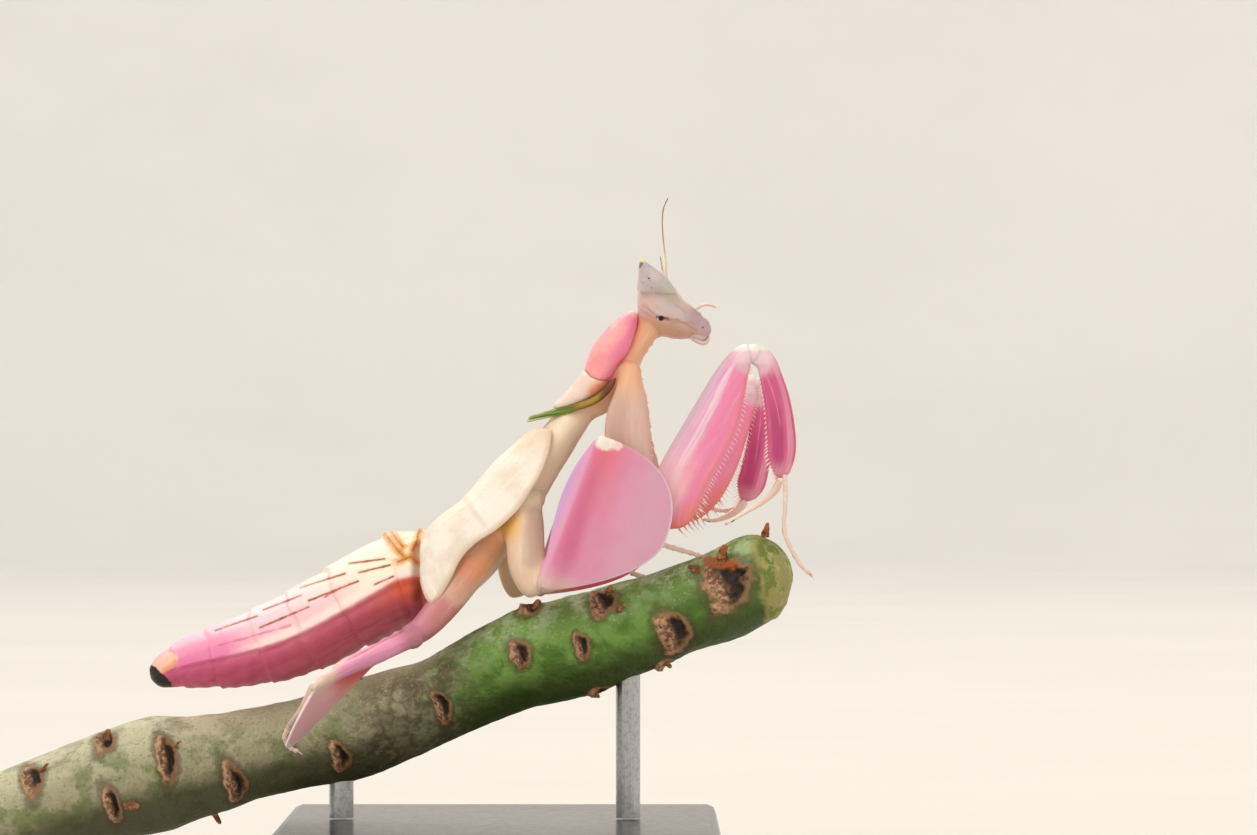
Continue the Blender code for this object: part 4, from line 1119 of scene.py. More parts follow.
def coxa_cuticle():
    """Greyish pink cuticle of the fore hips, peach above, with a warm front edge, streaks and dark dots."""
    washes = [
        ("#DCB3A2", 0.8, ("turn", 0.3, 0.1, 0.04)),
        ("#C3A091", 0.6, ("turn", 0.45, 0.6, 0.06), ("turn", 0.9, 0.7, 0.06)),
        ("#D9A6A0", 0.5, (("streak", 4.0, 0.7), 0.5, 0.7)),
        ("#E5CFC0", 0.4, (("streak", 4.0, 0.4), 0.55, 0.75)),
        ("#D98872", 0.5, ("turn", 0.88, 0.97, 0.03), ("along", 0.4, 0.5), ("along", 0.72, 0.6)),
        ("neck_peach", 0.95, ("z", 38.6, 41.0, 0.5)),
        ("#8A6258", 0.6, (("cells", 0.9), 0.08, 0.04)),
        ("#EBC9AE", 0.8, ("turn", 0.08, 0.02, 0.02)),
        ("#E9B9A6", 0.8, ("along", 0.86, 0.99)),
    ]
    relief = [(("mottle", 0.25), 0.02), (("streak", 5.0, 0.5), 0.03)]
    return make_material("satin_cuticle_coxa", "coxa_grey", washes, (0.36, 0.5), relief, flesh=0.18)


def knee_washes():
    """Pale pink knees with a cream top, the same on thigh and shin, so that no line shows between them."""
    washes = []
    for away, x, z in ((-1.0, 20.75, 42.95), (1.0, 21.1, 40.6)):
        within = [("y", 0.0, away), (("from", x, 0.0, z), 2.0, 1.1, 0.15, 0.6)]
        washes.append(("knee_pink", 0.95, *within))
        washes.append(("#FCF4E9", 0.95, *within, ("z", z + 0.25, z + 0.6, 0.1)))
        washes.append(("#D7A3B5", 0.5, *within, ("z", z - 0.45, z - 0.9, 0.15)))
    return washes


def femur_cuticle():
    """Satin cuticle of the fore thighs: lilac grey edge, long pale streaks on pink, salmon at the base."""
    washes = [
        ("#E9AFD0", 0.9, ("turn", 0.2, 0.3, 0.03)),
        ("#F8D3E2", 0.85, ("turn", 0.34, 0.38, 0.02), ("turn", 0.5, 0.43, 0.03)),
        ("femur_hot_pink", 0.75, ("turn", 0.42, 0.52, 0.03)),
        ("#FBE0EA", 0.5, (("streak", 7.0, 0.35), 0.53, 0.7), ("turn", 0.2, 0.35)),
        ("#E77BAE", 0.4, (("streak", 6.0, 0.28), 0.46, 0.32), ("turn", 0.2, 0.3)),
        ("#F68DA8", 0.9, ("turn", 0.68, 0.8, 0.03)),
        ("#F9C4C9", 0.8, ("along", 0.5, 0.2, 0.05), ("turn", 0.7, 0.5, 0.05)),
        ("#F6877C", 0.95, (("slant", -0.5, 0.86), 19.6, 17.4, 0.5), ("turn", 0.32, 0.55, 0.05)),
        ("#F9B7B8", 0.55, ("turn", 0.93, 0.98), ("along", 0.3, 0.5)),
        ("#D9BFCB", 0.7, ("turn", 0.1, 0.02, 0.02), ("along", 0.9, 0.8)),
        *knee_washes(),
    ]
    relief = [(("mottle", 0.2), 0.02), (("streak", 7.0, 0.3), 0.07)]
    return make_material("satin_cuticle_fore_femur", "#D8B7CA", washes, (0.34, 0.48), relief, flesh=0.18)


def tibia_cuticle():
    """Deep magenta cuticle of the fore shins, fluted lengthwise, with a coral outer edge and cream knee."""
    washes = [
        ("#EDA0B8", 0.6, ("turn", 0.16, 0.24, 0.03), ("turn", 0.4, 0.3, 0.03)),
        ("#B53C74", 0.75, ("turn", 0.4, 0.5, 0.03), ("turn", 0.78, 0.66, 0.03), ("along", 0.35, 0.6)),
        ("#F0B0C4", 0.5, (("streak", 6.0, 0.26), 0.53, 0.7)),
        ("#A63468", 0.4, (("streak", 6.0, 0.22), 0.45, 0.3)),
        ("#E38894", 0.8, ("turn", 0.82, 0.92, 0.03)),
        ("#DE9A84", 0.9, ("turn", 0.12, 0.05, 0.015)),
        ("#E9B4C4", 0.8, ("along", 0.3, 0.18, 0.03)),
        ("#E3A3B0", 0.6, ("along", 0.84, 0.97, 0.02)),
        *knee_washes(),
    ]
    relief = [(("mottle", 0.18), 0.02), (("streak", 6.0, 0.22), 0.08)]
    roughness = (0.32, 0.46)
    return make_material("satin_cuticle_fore_tibia", "tibia_magenta", washes, roughness, relief, flesh=0.14)


def lobe_cuticle():
    """Petal lobes of the middle thighs: lilac back edge, rosy streak by the rod, greyish pink to the rim."""
    washes = [
        ("#E3A2BE", 0.5, (("mottle", 2.4), 0.42, 0.66)),
        (
            "#DC6F98", 0.85, ("v", -0.7, 0.0, 0.3, 2.4), ("v", 1.9, 0.7, 0.35, 2.4),
            ("along", 0.06, 0.3, 0.05),
        ),
        ("#E5829E", 0.7, ("v", 3.6, 1.4, 0.5, 2.5), ("v", 0.2, 0.9, 0.2, 1.5), ("along", 0.35, 0.7)),
        ("#D9A6BC", 0.8, ("v", 3.0, 5.4, 0.6, 2.2)),
        ("#E7A8CC", 0.8, ("v", -0.3, -0.65, 0.08, 1.5)),
        ("#D5A8DC", 0.9, ("v", -0.75, -1.15, 0.1, 1.5), ("along", 0.25, 0.5, 0.1)),
        ("#D3A2B8", 0.5, ("rim", 1.6, 0.4, 0.3)),
        ("#EBD6DC", 0.7, ("rim", 0.2, 0.06, 0.04)),
        ("#EC7C8E", 0.75, ("along", 0.72, 0.92), ("v", -0.5, 0.1, 0.15), ("v", 2.2, 1.1, 0.3)),
        # Painted light: a hotter pink on the far lobe's low strip only, to lift it out of its shade.
        ("#F0627C", 0.85, ("y", 0.0, 1.0), ("z", 26.5, 25.0, 0.3)),
        ("#DCBBAF", 0.9, ("along", 0.17, 0.02, 0.05, 1.0)),
        ("#FBF2E8", 0.95, (("from", 8.7, 0.0, 36.1), 1.0, 0.6, 0.35, 0.6), ("v", 1.6, 1.0, 0.2)),
        ("#F7E8E0", 0.8, (("from", 9.6, 0.0, 35.7), 0.6, 0.3, 0.25, 0.4)),
    ]
    relief = [(("mottle", 0.22), 0.02), (("streak", 3.0, 0.4), 0.02), (("mottle", 1.6), 0.08)]
    return make_material("petal_cuticle_middle", "lobe_pink", washes, (0.42, 0.56), relief, flesh=0.2)


def hind_lobe_cuticle():
    """Petal lobes of the hind thighs: hot pink rod, coral below, pale knee, pink petal with white edges."""
    washes = [
        ("#F0876F", 0.8, ("v", 4.4, 2.0, 0.4), ("along", 0.8, 0.6, 0.05)),
        ("#F2606E", 0.9, ("v", 2.6, 1.2, 0.3), ("v", 0.1, 0.6, 0.1), ("along", 0.88, 0.7, 0.05)),
        ("#F4A2CA", 0.95, ("v", 0.6, 0.1, 0.1)),
        ("#D9739A", 0.7, ("v", 0.6, 0.1, 0.1), ("along", 0.3, 0.05, 0.05)),
        ("#F7B3C8", 0.5, (("streak", 5.0, 0.3), 0.52, 0.72)),
        ("#FCE9EC", 0.9, ("rim", 0.7, 0.2, 0.1), ("along", 0.5, 0.7)),
        ("#FFDCCF", 0.95, ("along", 0.78, 0.92, 0.03), ("v", 2.0, 1.0, 0.2)),
        ("#CC8494", 0.9, ("along", 0.26, 0.06, 0.04)),
    ]
    relief = [(("mottle", 0.22), 0.025), (("streak", 3.0, 0.25), 0.05)]
    return make_material("petal_cuticle_hind", "#FFC8CE", washes, (0.36, 0.5), relief, flesh=0.2)


def shin_cuticle():
    """Pale, almost clear cuticle of the thin shins, feet, palps and lips."""
    washes = [
        ("#D7A99B", 0.7, (("streak", 2.0, 0.3), 0.5, 0.7)),
        ("#B98A6E", 0.6, ("along", 0.92, 1.0)),
        ("#F7EADF", 0.6, (("mottle", 0.5), 0.5, 0.7)),
    ]
    relief = [(("mottle", 0.15), 0.02)]
    return make_material("clear_cuticle_shins", "shin_pale", washes, (0.28, 0.42), relief, flesh=0.25)


def pad_cuticle():
    """Matt, cream wing pads with the faint fan of the folded veins and thin, warmer edges."""
    washes = [
        ("#EEDFCB", 0.8, (("mottle", 2.6), 0.4, 0.62)),
        ("#FBF6EA", 0.6, (("streak", 9.0, 0.7), 0.5, 0.7)),
        ("#E4D4CC", 0.5, ("tail", 0.45, 0.62, 0.06), ("tail", 0.85, 0.7, 0.05), (("mottle", 1.5), 0.4, 0.6)),
        ("#E6CBAA", 0.7, ("tail", 0.2, 0.02, 0.05)),
        ("#E6C6A6", 0.6, ("rim", 0.5, 0.05, 0.08)),
        ("#D2AE92", 0.7, ("tail", 0.94, 1.0)),
        ("#E4D2C0", 0.6, (("line", -2.9, 31.4, -1.2, 29.2), 0.4, 0.0, 0.12, 0.6)),
        ("#C7A98E", 0.5, (("cells", 1.6), 0.05, 0.02)),
    ]
    relief = [(("mottle", 0.3), 0.03), (("streak", 8.0, 0.5), 0.08), (("mottle", 1.4), 0.12)]
    return make_material("matt_cuticle_wing_pads", "pad_cream", washes, (0.44, 0.58), relief, flesh=0.15)


def shield_cuticle():
    """Satin shield: clear pink in front of the furrow, pinker to its edge, and pale peach pink behind it."""
    washes = [
        ("#FFB4AC", 0.75, (("mottle", 1.5), 0.45, 0.62)),
        ("#FB86B6", 0.8, ("turn", 0.42, 0.72, 0.1, 1.2)),
        ("#FFA79C", 0.5, ("z", 43.6, 42.4, 0.4), ("turn", 0.7, 0.4, 0.1)),
        ("#FBC4D2", 0.6, ("turn", 0.2, 0.08, 0.03)),
        ("#F9E6E2", 0.8, ("along", 0.06, 0.0)),
        ("#F2D6CB", 1.0, ("behind", -0.02, 0.1)),
        ("#F6E6DC", 0.6, ("behind", 0.5, 1.2), (("mottle", 1.2), 0.4, 0.6)),
        ("#F0AE9A", 0.4, (("mottle", 0.8), 0.55, 0.7), ("behind", 0.0, 0.2)),
        ("#F6955F", 0.85, ("behind", 0.0, 0.15), (("line", 8.0, 39.9, 9.4, 41.0), 1.2, 0.3, 0.2)),
        ("#B06A48", 0.9, ("furrow", 0.45, 0.9)),
    ]
    relief = [(("mottle", 0.25), 0.03), (("streak", 3.0, 0.5), 0.04), (("mottle", 0.9), 0.08)]
    return make_material("satin_cuticle_shield", "shield_pink", washes, (0.36, 0.5), relief, flesh=0.15)


def band_cuticle():
    """The shield's leaf-green hind collar, ochre along its middle and dark red brown at its front ends."""
    washes = [
        ("#8DA32C", 0.7, (("streak", 3.0, 0.2), 0.45, 0.65), ("x", 6.5, 5.0)),
        ("#2F4206", 0.75, (("streak", 3.0, 0.16), 0.47, 0.36), ("x", 7.5, 6.0)),
        ("#8A6E1C", 0.8, ("x", 5.4, 6.6, 0.3)),
        ("#B98A2E", 0.7, ("x", 6.0, 7.0, 0.3), ("turn", 0.75, 0.55, 0.05), ("turn", 0.2, 0.35, 0.05)),
        ("#4A2410", 0.8, ("x", 6.4, 7.4, 0.3), ("turn", 0.62, 0.78, 0.05)),
        ("#5E2A16", 0.85, ("x", 7.8, 8.6, 0.2)),
        ("#8A3428", 0.8, ("x", 8.9, 9.4, 0.1)),
        ("#D9D29C", 0.85, ("turn", 0.12, 0.03, 0.02), ("x", 4.6, 3.4)),
        ("#E2DCB0", 0.8, ("x", 2.5, 2.2, 0.1), ("turn", 0.5, 0.3)),
    ]
    relief = [(("streak", 3.0, 0.16), 0.08), (("mottle", 0.4), 0.04)]
    return make_material("leathery_cuticle_collar", "band_green", washes, (0.34, 0.5), relief)


def eye_cuticle():
    """Clear facetted eye over pale flesh: lilac grey, greenish at its foot, yellow at its very tip."""
    washes = [
        ("#DDCFC9", 0.6, (("mottle", 1.1), 0.45, 0.65)),
        ("#C1B6AE", 0.7, ("z", 48.9, 48.3, 0.15, 0.8), ("x", 12.0, 13.2, 0.2)),
        ("#C9C9B6", 0.5, ("x", 13.2, 13.9, 0.2), ("z", 49.4, 48.8)),
        ("#B9AFB6", 0.6, ("z", 49.9, 50.3, 0.1)),
        ("#5E5A66", 0.8, (("line", 11.45, 50.2, 11.6, 50.45), 0.18, 0.08, 0.04, 0.3)),
        ("#F0E9A0", 1.0, ("z", 50.5, 50.66, 0.04)),
        (
            "#8C8086", 0.6, (("line", 11.6, 48.95, 12.5, 48.45), 0.07, 0.03, 0.03, 0.3),
            (("mottle", 0.12), 0.45, 0.55),
        ),
        ("#2B2226", 0.95, (("from", 12.2, 0.0, 49.25), 0.1, 0.06)),
        ("#55494E", 0.7, (("from", 12.28, 0.0, 49.05), 0.06, 0.03)),
        ("#55494E", 0.6, (("from", 12.05, 0.0, 49.42), 0.05, 0.03)),
    ]
    relief = [(("cells", 0.06), 0.006)]
    return make_material("faceted_eye", "eye_grey", washes, (0.2, 0.3), relief, flesh=0.3, coat=0.2)


def feeler_cuticle():
    """Thin horny feelers: pale at the base, light brown towards the tip."""
    washes = [
        ("#B08C62", 0.9, ("along", 0.2, 0.5)),
        ("#5A4230", 0.8, ("along", 0.6, 0.95)),
        ("#E0C49A", 0.4, (("mottle", 0.3), 0.5, 0.6)),
    ]
    return make_material("horn_feelers", "#F0DDB4", washes, (0.35, 0.5))


def spine_horn():
    """Hard spines: pinkish at their roots, clear white along their length, amber at the point."""
    washes = [
        ("#FBF3EC", 0.9, ("along", 0.15, 0.45)),
        ("#C98F5E", 0.7, ("along", 0.86, 1.0)),
    ]
    return make_material("horn_spines", "#F3AEBB", washes, (0.25, 0.35), flesh=0.2)


def claw_horn():
    """The raptorial claw: pale pinkish horn, with a black dot and an amber point."""
    washes = [
        ("#F5E4D8", 0.7, ("along", 0.3, 0.7)),
        ("#D9A088", 0.5, (("streak", 3.0, 0.3), 0.5, 0.7)),
        ("#D9B070", 0.8, ("along", 0.94, 0.985)),
        ("#1A1012", 1.0, ("along", 0.84, 0.865), ("along", 0.915, 0.89), ("turn", 0.5, 0.3)),
    ]
    relief = [(("mottle", 0.2), 0.015)]
    return make_material("horn_claw", "shin_pale", washes, (0.24, 0.34), relief, flesh=0.2)


def stem_bark():
    """Living bark: green, with a whitish bloom that also serves as a painted highlight along the top,
    painted shade below, grey and tan where it is old, and brown leaf scars with painted shadow in their
    hollows.
    """
    washes = [
        # Painted shade: darker greens over the lower half of the stem and its underside.
        ("#3F6410", 0.85, ("turn", 0.3, 0.5, 0.05), (("mottle", 2.4), 0.62, 0.42)),
        ("#33420A", 0.9, ("turn", 0.52, 0.74, 0.06, 2.0)),
        # Painted highlight: paler green and a whitish bloom along the top of the stem, partly the bark's own
        # bloom.
        ("#A9C092", 0.8, ("turn", 0.48, 0.2, 0.08, 1.6), (("mottle", 1.5), 0.4, 0.6)),
        (
            "#D5E0C4", 0.7, ("turn", 0.4, 0.12, 0.06), (("mottle", 0.45), 0.5, 0.64),
            (("mottle", 2.2), 0.42, 0.6),
        ),
        ("#A39C80", 0.9, ("x", -2.0, -9.0, 1.5)),
        ("#CBC6A6", 0.8, ("x", -18.0, -26.0, 1.5), ("turn", 0.5, 0.25, 0.06), (("mottle", 1.8), 0.36, 0.56)),
        ("#6E7A48", 0.8, ("x", -6.0, -14.0, 2.0), (("mottle", 2.2), 0.46, 0.6), ("turn", 0.2, 0.42)),
        # Painted shade: dark olive on the underside of the old bark.
        ("#3B3E1C", 0.85, ("x", -4.0, -10.0, 1.0), ("turn", 0.48, 0.66, 0.06, 1.6)),
        (
            "#4E4A30", 0.8, ("x", 0.0, -5.0, 0.8), ("x", -14.5, -9.0, 0.8), (("mottle", 1.3), 0.36, 0.56),
            ("turn", 0.1, 0.3),
        ),
        ("#8A7A66", 0.6, ("x", -1.0, -4.0), ("x", -14.0, -9.0), (("mottle", 0.7), 0.5, 0.62)),
        ("#4B4A2E", 0.45, ("x", 0.0, -6.0), (("mottle", 0.28), 0.54, 0.68)),
        ("#E2E2CE", 0.4, (("mottle", 0.24), 0.6, 0.72), ("turn", 0.55, 0.35)),
        ("#A39A5A", 0.85, (("slant", 1.0, 0.18), 25.3, 25.9, 0.7, 1.8)),
        ("#5C7416", 0.8, (("slant", 1.0, 0.18), 25.6, 26.2), (("mottle", 1.9), 0.5, 0.6)),
        ("#C2B884", 0.6, (("slant", 1.0, 0.18), 25.8, 26.4), (("mottle", 0.8), 0.55, 0.68)),
        ("#4A3A20", 0.6, ("scar", 1.75, 1.2, 0.4, 0.5)),
        ("#8F6A48", 0.9, ("scar", 1.2, 1.0, 0.2, 0.35)),
        (
            "#C79E7C", 0.85, ("scar", 1.15, 0.95, 0.15, 0.3), ("scar_side", 0.25, -0.4, 0.3),
            (("mottle", 0.4), 0.36, 0.5),
        ),
        ("#5C3820", 0.85, ("scar", 0.9, 0.7, 0.2, 0.3), (("mottle", 0.35), 0.6, 0.45)),
        # Painted shadow: near-black in the sunk hollow on the +X side of each leaf scar.
        ("#1A1008", 0.95, ("scar", 0.85, 0.55, 0.2, 0.3), ("scar_side", -0.35, 0.15, 0.3)),
        ("#A2531C", 0.9, (("line", 17.0, 26.2, 19.0, 25.9), 0.6, 0.2, 0.3, 0.5)),
        ("#E3CFA0", 1.0, ("u", 0.08, 0.01)),
    ]
    relief = [(("mottle", 0.3), 0.12), (("cells", 0.5), 0.05), (("mottle", 1.0), 0.2)]
    return make_material("living_bark", "stem_green", washes, (0.5, 0.74), relief, ior=1.45)


def dry_stub_bark():
    """Dead leaf stubs: brown, fibrous and dull, paler at the torn ends."""
    washes = [
        ("#C08A5E", 0.7, (("mottle", 0.5), 0.45, 0.6)),
        ("#2E1B10", 0.8, (("mottle", 0.35), 0.42, 0.3)),
        ("#B8602A", 0.7, ("x", 17.5, 18.5), (("mottle", 0.7), 0.4, 0.55)),
    ]
    return make_material("dry_stub_bark", "#7A5234", washes, (0.7, 0.9), [(("mottle", 0.2), 0.08)], ior=1.4)


def base_lacquer():
    """Black lacquered board: a faint brushed grain under a satin coat, dulled a little by dust."""
    washes = [
        ("#1A1A1D", 0.8, (("mottle", 6.0), 0.4, 0.65)),
        ("#2A2A2D", 0.35, (("mottle", 0.8), 0.55, 0.75)),
    ]
    relief = [(("mottle", 0.5), 0.01)]
    return make_material("black_lacquered_board", "board_black", washes, (0.3, 0.42), relief, coat=0.4)


def rod_steel():
    """Brushed stainless steel rod: cool grey with fine turning marks."""
    washes = [("#8E9196", 0.6, (("mottle", 0.3), 0.45, 0.65))]
    relief = [(("mottle", 0.15), 0.006)]
    return make_material("brushed_stainless_steel", "#B4B6BA", washes, (0.26, 0.36), relief, metallic=1.0)


# -----------------------------------------------------------------------------
# The body's surfaces
# -----------------------------------------------------------------------------
# Places in the skin's list of materials
ABDOMEN_SKIN, TRUNK_SKIN, HEAD_SKIN, COXA_SKIN, FEMUR_SKIN, TIBIA_SKIN = range(6)
LOBE_SKIN, HIND_SKIN, SHIN_SKIN = range(6, 9)


def middle_tube(rows, places, sides, across=ACROSS, **settings):
    """A tube on the middle plane through rows of x, z, half width and half height."""
    x, z, wide, high = smooth_rows(rows, places).T
    return tube(np.column_stack([x, np.zeros(len(x)), z]), wide, high, sides, across, **settings)


def tergite_share(x):
    """How far x is through its tergite, from 0 at the front rim to 1 at the hind rim."""
    ends = np.array(TERGITE_ENDS)
    segment = np.clip(np.searchsorted(-ends, -x + 1e-6) - 1, 0, len(ends) - 2)
    return (ends[segment] - x) / (ends[segment] - ends[segment + 1])


def line_gap(points, line):
    """Millimetres in profile from points to a line between two places, given as x, z, x and z."""
    start, step = np.array(line[:2]), np.subtract(line[2:], line[:2])
    flat = points[:, [0, 2]] - start
    share = np.clip(flat @ step / (step @ step), 0, 1)
    return np.linalg.norm(flat - share[:, None] * step, axis=1)


def abdomen_surface():
    """The keeled abdomen: each tergite widens to a wavy hind rim over the next, and the front is folded."""
    rings, sides = ABDOMEN_MESH
    places = np.linspace(0, 1, rings)
    x = smooth_rows(ABDOMEN, places)[:, 0]
    store = {}

    def swell(angle, run):
        turn, xs = turn_of(angle), x[:, None]
        around = stacked(xs * 0.5, 2.2 * np.cos(angle), 2.2 * np.sin(angle))
        wavy = xs + 0.4 * grain(around, 0.9, 3) * eased(turn, 1.0, 0.3)
        share = tergite_share(wavy)
        strength = 0.6 + 0.4 * grain(around, 1.7, 8)
        step = TERGITE_STEP * strength * (share - 0.5) - 0.016 * bump_at(share, 0.0, 0.12)
        pleat = 0.012 * np.sin(xs * 5.0 + 3 * grain(around, 1.5, 5)) * eased(turn, 0.55, 0.65)
        dent = -0.03 * bump_at(turn, 0.57, 0.03) + 0.012 * bump_at(turn, 0.49, 0.02)
        store["share"] = share[:, :-1]
        return 1 + step + CRUMPLED_SWELL * eased(xs, -10.0, -7.0) * eased(turn, 0.6, 0.3) + pleat + dent

    shape = {"power": ABDOMEN_KEEL, "swell": swell, "ends": (0.6, 0.3), "material": ABDOMEN_SKIN}
    made = middle_tube(ABDOMEN, places, sides, (0.0, -1.0, 0.0), **shape)
    for name, values in store.items():
        add_field(made, name, values)
    points, normals = made["points"], normals_of(made)
    rise = 0.06 * grain(points, 0.9, 12) * eased(points[:, 0], -9.6, -8.0) * eased(points[:, 2], 25.2, 26.4)
    for fold in FRONT_FOLDS:
        rise = rise + 0.15 * bump_at(line_gap(points, fold), 0, 0.2)
    for line in BACK_LINES:
        rise = rise - 0.025 * bump_at(line_gap(points, line), 0, 0.13)
    points += rise[:, None] * normals
    return made


def trunk_surface():
    """Thorax and neck as one tube, with furrows between the plates and small teeth below the neck."""
    rings, sides = TRUNK_MESH

    def swell(angle, run):
        below = bump_at(angle, -math.pi / 2, 0.5) + bump_at(angle, 1.5 * math.pi, 0.5)
        share = (run / run[-1])[:, None]
        teeth = sum(bump_at(run[:, None], run[-1] - away, 0.16) for away in (0.8, 1.5, 2.1, 2.9, 3.6))
        side = bump_at(angle, 0.0, 0.5) + bump_at(angle, math.pi, 0.5)
        furrow = marks(share, (1, 0.3, 0.02), (1, 0.55, 0.015), (1, 0.76, 0.012))
        around = stacked(run[:, None], 3 * np.cos(angle), 3 * np.sin(angle))
        return 1 + 0.1 * teeth * below - 0.04 * furrow * (0.4 + side) + 0.02 * grain(around, 1.6, 7)

    places = np.linspace(0, 1, rings)
    return middle_tube(THORAX, places, sides, swell=swell, ends=(1.0, 0.5), material=TRUNK_SKIN)


def head_surface():
    """The head capsule from crown to mouth: brow, cheek folds, shield seams, mandibles and upper lip."""
    rings, sides = HEAD_MESH
    store = {}

    def swell(angle, run):
        share = np.broadcast_to((run / run[-1])[:, None], (len(run), len(angle)))
        front = np.broadcast_to(np.sin(angle), share.shape)
        side = np.abs(np.cos(angle))
        cheek_line = 0.36 + 0.5 * eased(front, -0.75, 0.25)
        crease = bump_at(share, cheek_line, 0.018) * eased(front, 0.45, 0.1) * eased(front, -0.98, -0.8)
        brow = 0.05 * bump_at(share, 0.3, 0.06) * eased(front, 0.2, 0.8)
        groove = 0.035 * marks(share, (1, 0.56, 0.012), (1, 0.78, 0.012)) * eased(front, 0.35, 0.75)
        gena = 0.05 * bump_at(share, cheek_line - 0.08, 0.05) * side
        lip = marks(share, (0.09, 0.9, 0.035), (-0.08, 0.84, 0.02)) * eased(front, 0.2, 0.7)
        jaw = 0.1 * bump_at(share, 0.74, 0.07) * bump_at(front, -0.45, 0.3)
        slit = -0.1 * bump_at(share, 0.86, 0.05) * bump_at(front, -0.1, 0.14)
        chin = 0.07 * bump_at(share, 0.66, 0.1) * eased(front, -0.7, -0.95)
        nape = -0.12 * bump_at(share, 0.5, 0.05) * eased(front, -0.7, -0.95)
        around = stacked(run[:, None], 2 * np.cos(angle), 2 * front)
        store["from_crown"], store["face"] = share[:, :-1], front[:, :-1]
        raised = brow - groove + gena + lip + jaw + slit + chin + nape
        return 1 - 0.06 * crease + raised + 0.012 * grain(around, 0.5, 21)

    places = np.linspace(0, 1, rings)
    made = middle_tube(HEAD, places, sides, swell=swell, ends=(0.25, 0.3), material=HEAD_SKIN)
    for name, values in store.items():
        add_field(made, name, values)
    return made


def mouthpart_surfaces():
    """Lower lip, mandible tips, small labial palps and the root of each feeler."""
    made = [limb(LIP, LEFT, LIP_MESH, SHIN_SKIN, (0.2, 0.2))]
    for side in SIDES.values():
        made.append(limb(JAW, side, JAW_MESH, HEAD_SKIN, (0.2, 0.2)))
        root = ANTENNA[:2] if side == RIGHT else placed(BROKEN_ANTENNA, side)[:2]
        start, end = np.array(root[0], float), np.array(root[1], float)
        collar = [start + (end - start) * k for k in (-0.25, 0.0, 0.3, 0.62)]
        made.append(rod(collar, *FEELER_ROOT_ROUND, material=SHIN_SKIN))
        made.append(rod(placed(PALP, side), *PALP_ROUND, material=SHIN_SKIN))
    return made


def round_lobe(most, start, widest, power):
    """The outline of a petal lobe: it rises slowly from the base and ends full and round at the knee.

    most is its greatest width in millimetres. start is where it begins to widen and widest where it is
    widest, as shares of the length. power says how soon the rise levels off.
    """

    def width(places):
        rise = 1 - np.clip((widest - places) / (widest - start), 0, 1) ** power
        fall = np.clip((places - widest) / (1.01 - widest), 0, 1)
        return np.maximum(most * np.where(places < widest, rise, (1 - fall**2.5) ** 0.4), 0.6)

    return width


# Rows of the segments that differ from side to side: the left leg stands lower and further out
FORE_ROWS = {
    RIGHT: {"femur": FORE_FEMUR, "tibia": FORE_TIBIA, "knee": FORE_KNEE, "claw": FORE_CLAW},
    LEFT: {
        "femur": FORE_LEFT_FEMUR,
        "tibia": FORE_LEFT_TIBIA,
        "knee": FORE_LEFT_KNEE,
        "claw": FORE_LEFT_CLAW,
    },
}


def foot_path(right, left, side):
    """Points of a foot. The left foot has places of its own."""
    return placed(right, side) if side == RIGHT else np.array(left)


def fore_leg_surfaces(side):
    """Coxa, bladed femur, fluted tibia and the folded-back tarsus of a raptorial leg."""

    def coxa_swell(angle, run):
        ridge = marks(np.sin(angle), (0.05, 0.35, 0.12), (-0.04, 0.05, 0.2))
        scallop = 0.03 * np.sin(run[:, None] * 5.2) * eased(np.sin(angle), 0.8, 1.0)
        return 1 + ridge + scallop * np.sin(math.pi * run[:, None] / run[-1])

    def femur_swell(angle, run):
        profile = np.sin(angle)
        fade = np.sin(math.pi * np.clip(run[:, None] / run[-1], 0, 1)) ** 0.6
        crest = marks(profile, (0.1, 0.3, 0.09), (0.06, 0.72, 0.08), (0.05, -0.8, 0.08))
        hollow = marks(profile, (0.08, 0.08, 0.13), (0.05, 0.52, 0.08))
        return 1 + (crest - hollow) * fade

    def tibia_swell(angle, run):
        flute = 0.05 * np.cos(angle * 6) * np.sin(math.pi * np.clip(run[:, None] / run[-1], 0, 1)) ** 0.5
        return 1 + flute * np.abs(np.cos(angle))

    rows, step = FORE_ROWS[side], FORE_LEFT_HIP_STEP
    coxa = limb(FORE_COXA, side, COXA_MESH, COXA_SKIN, (0.5, 0.7), coxa_swell, step, FORE_LEFT_HIP_FROM)
    femur = limb(rows["femur"], side, FEMUR_MESH, FEMUR_SKIN, (1.0, 0.4), femur_swell)
    tibia = limb(rows["tibia"], side, TIBIA_MESH, TIBIA_SKIN, (0.4, 0.35), tibia_swell)
    knee = limb(rows["knee"], side, KNEE_MESH, FEMUR_SKIN, (0.9, 0.9))
    path = foot_path(FORE_TARSUS, FORE_LEFT_TARSUS, side)
    tarsus = rod(path, *FORE_FOOT_ROUND, material=SHIN_SKIN)
    joint = limb(TROCHANTER, side, TROCHANTER_MESH, COXA_SKIN, (0.5, 0.5), shift=step)
    fillet(femur, tibia["core"], KNEE_BLEND)
    fillet(tibia, femur["core"], KNEE_BLEND)
    fillet(joint, femur["core"], TROCHANTER_BLEND)
    fillet(joint, coxa["core"], COXA_BLEND)
    fillet(coxa, joint["core"], COXA_BLEND)
    return [coxa, femur, tibia, tarsus, joint, knee]


def thigh_core(base, knee, share, radius):
    """The core of a round rod over the first share of a thigh, for a fillet against it."""
    centres = base + np.linspace(0, share, CORE_RINGS)[:, None] * (knee - base)
    size = np.full(CORE_RINGS, radius)
    return tube(centres, size, size, CORE_SIDES, ends=(radius, radius))["core"]


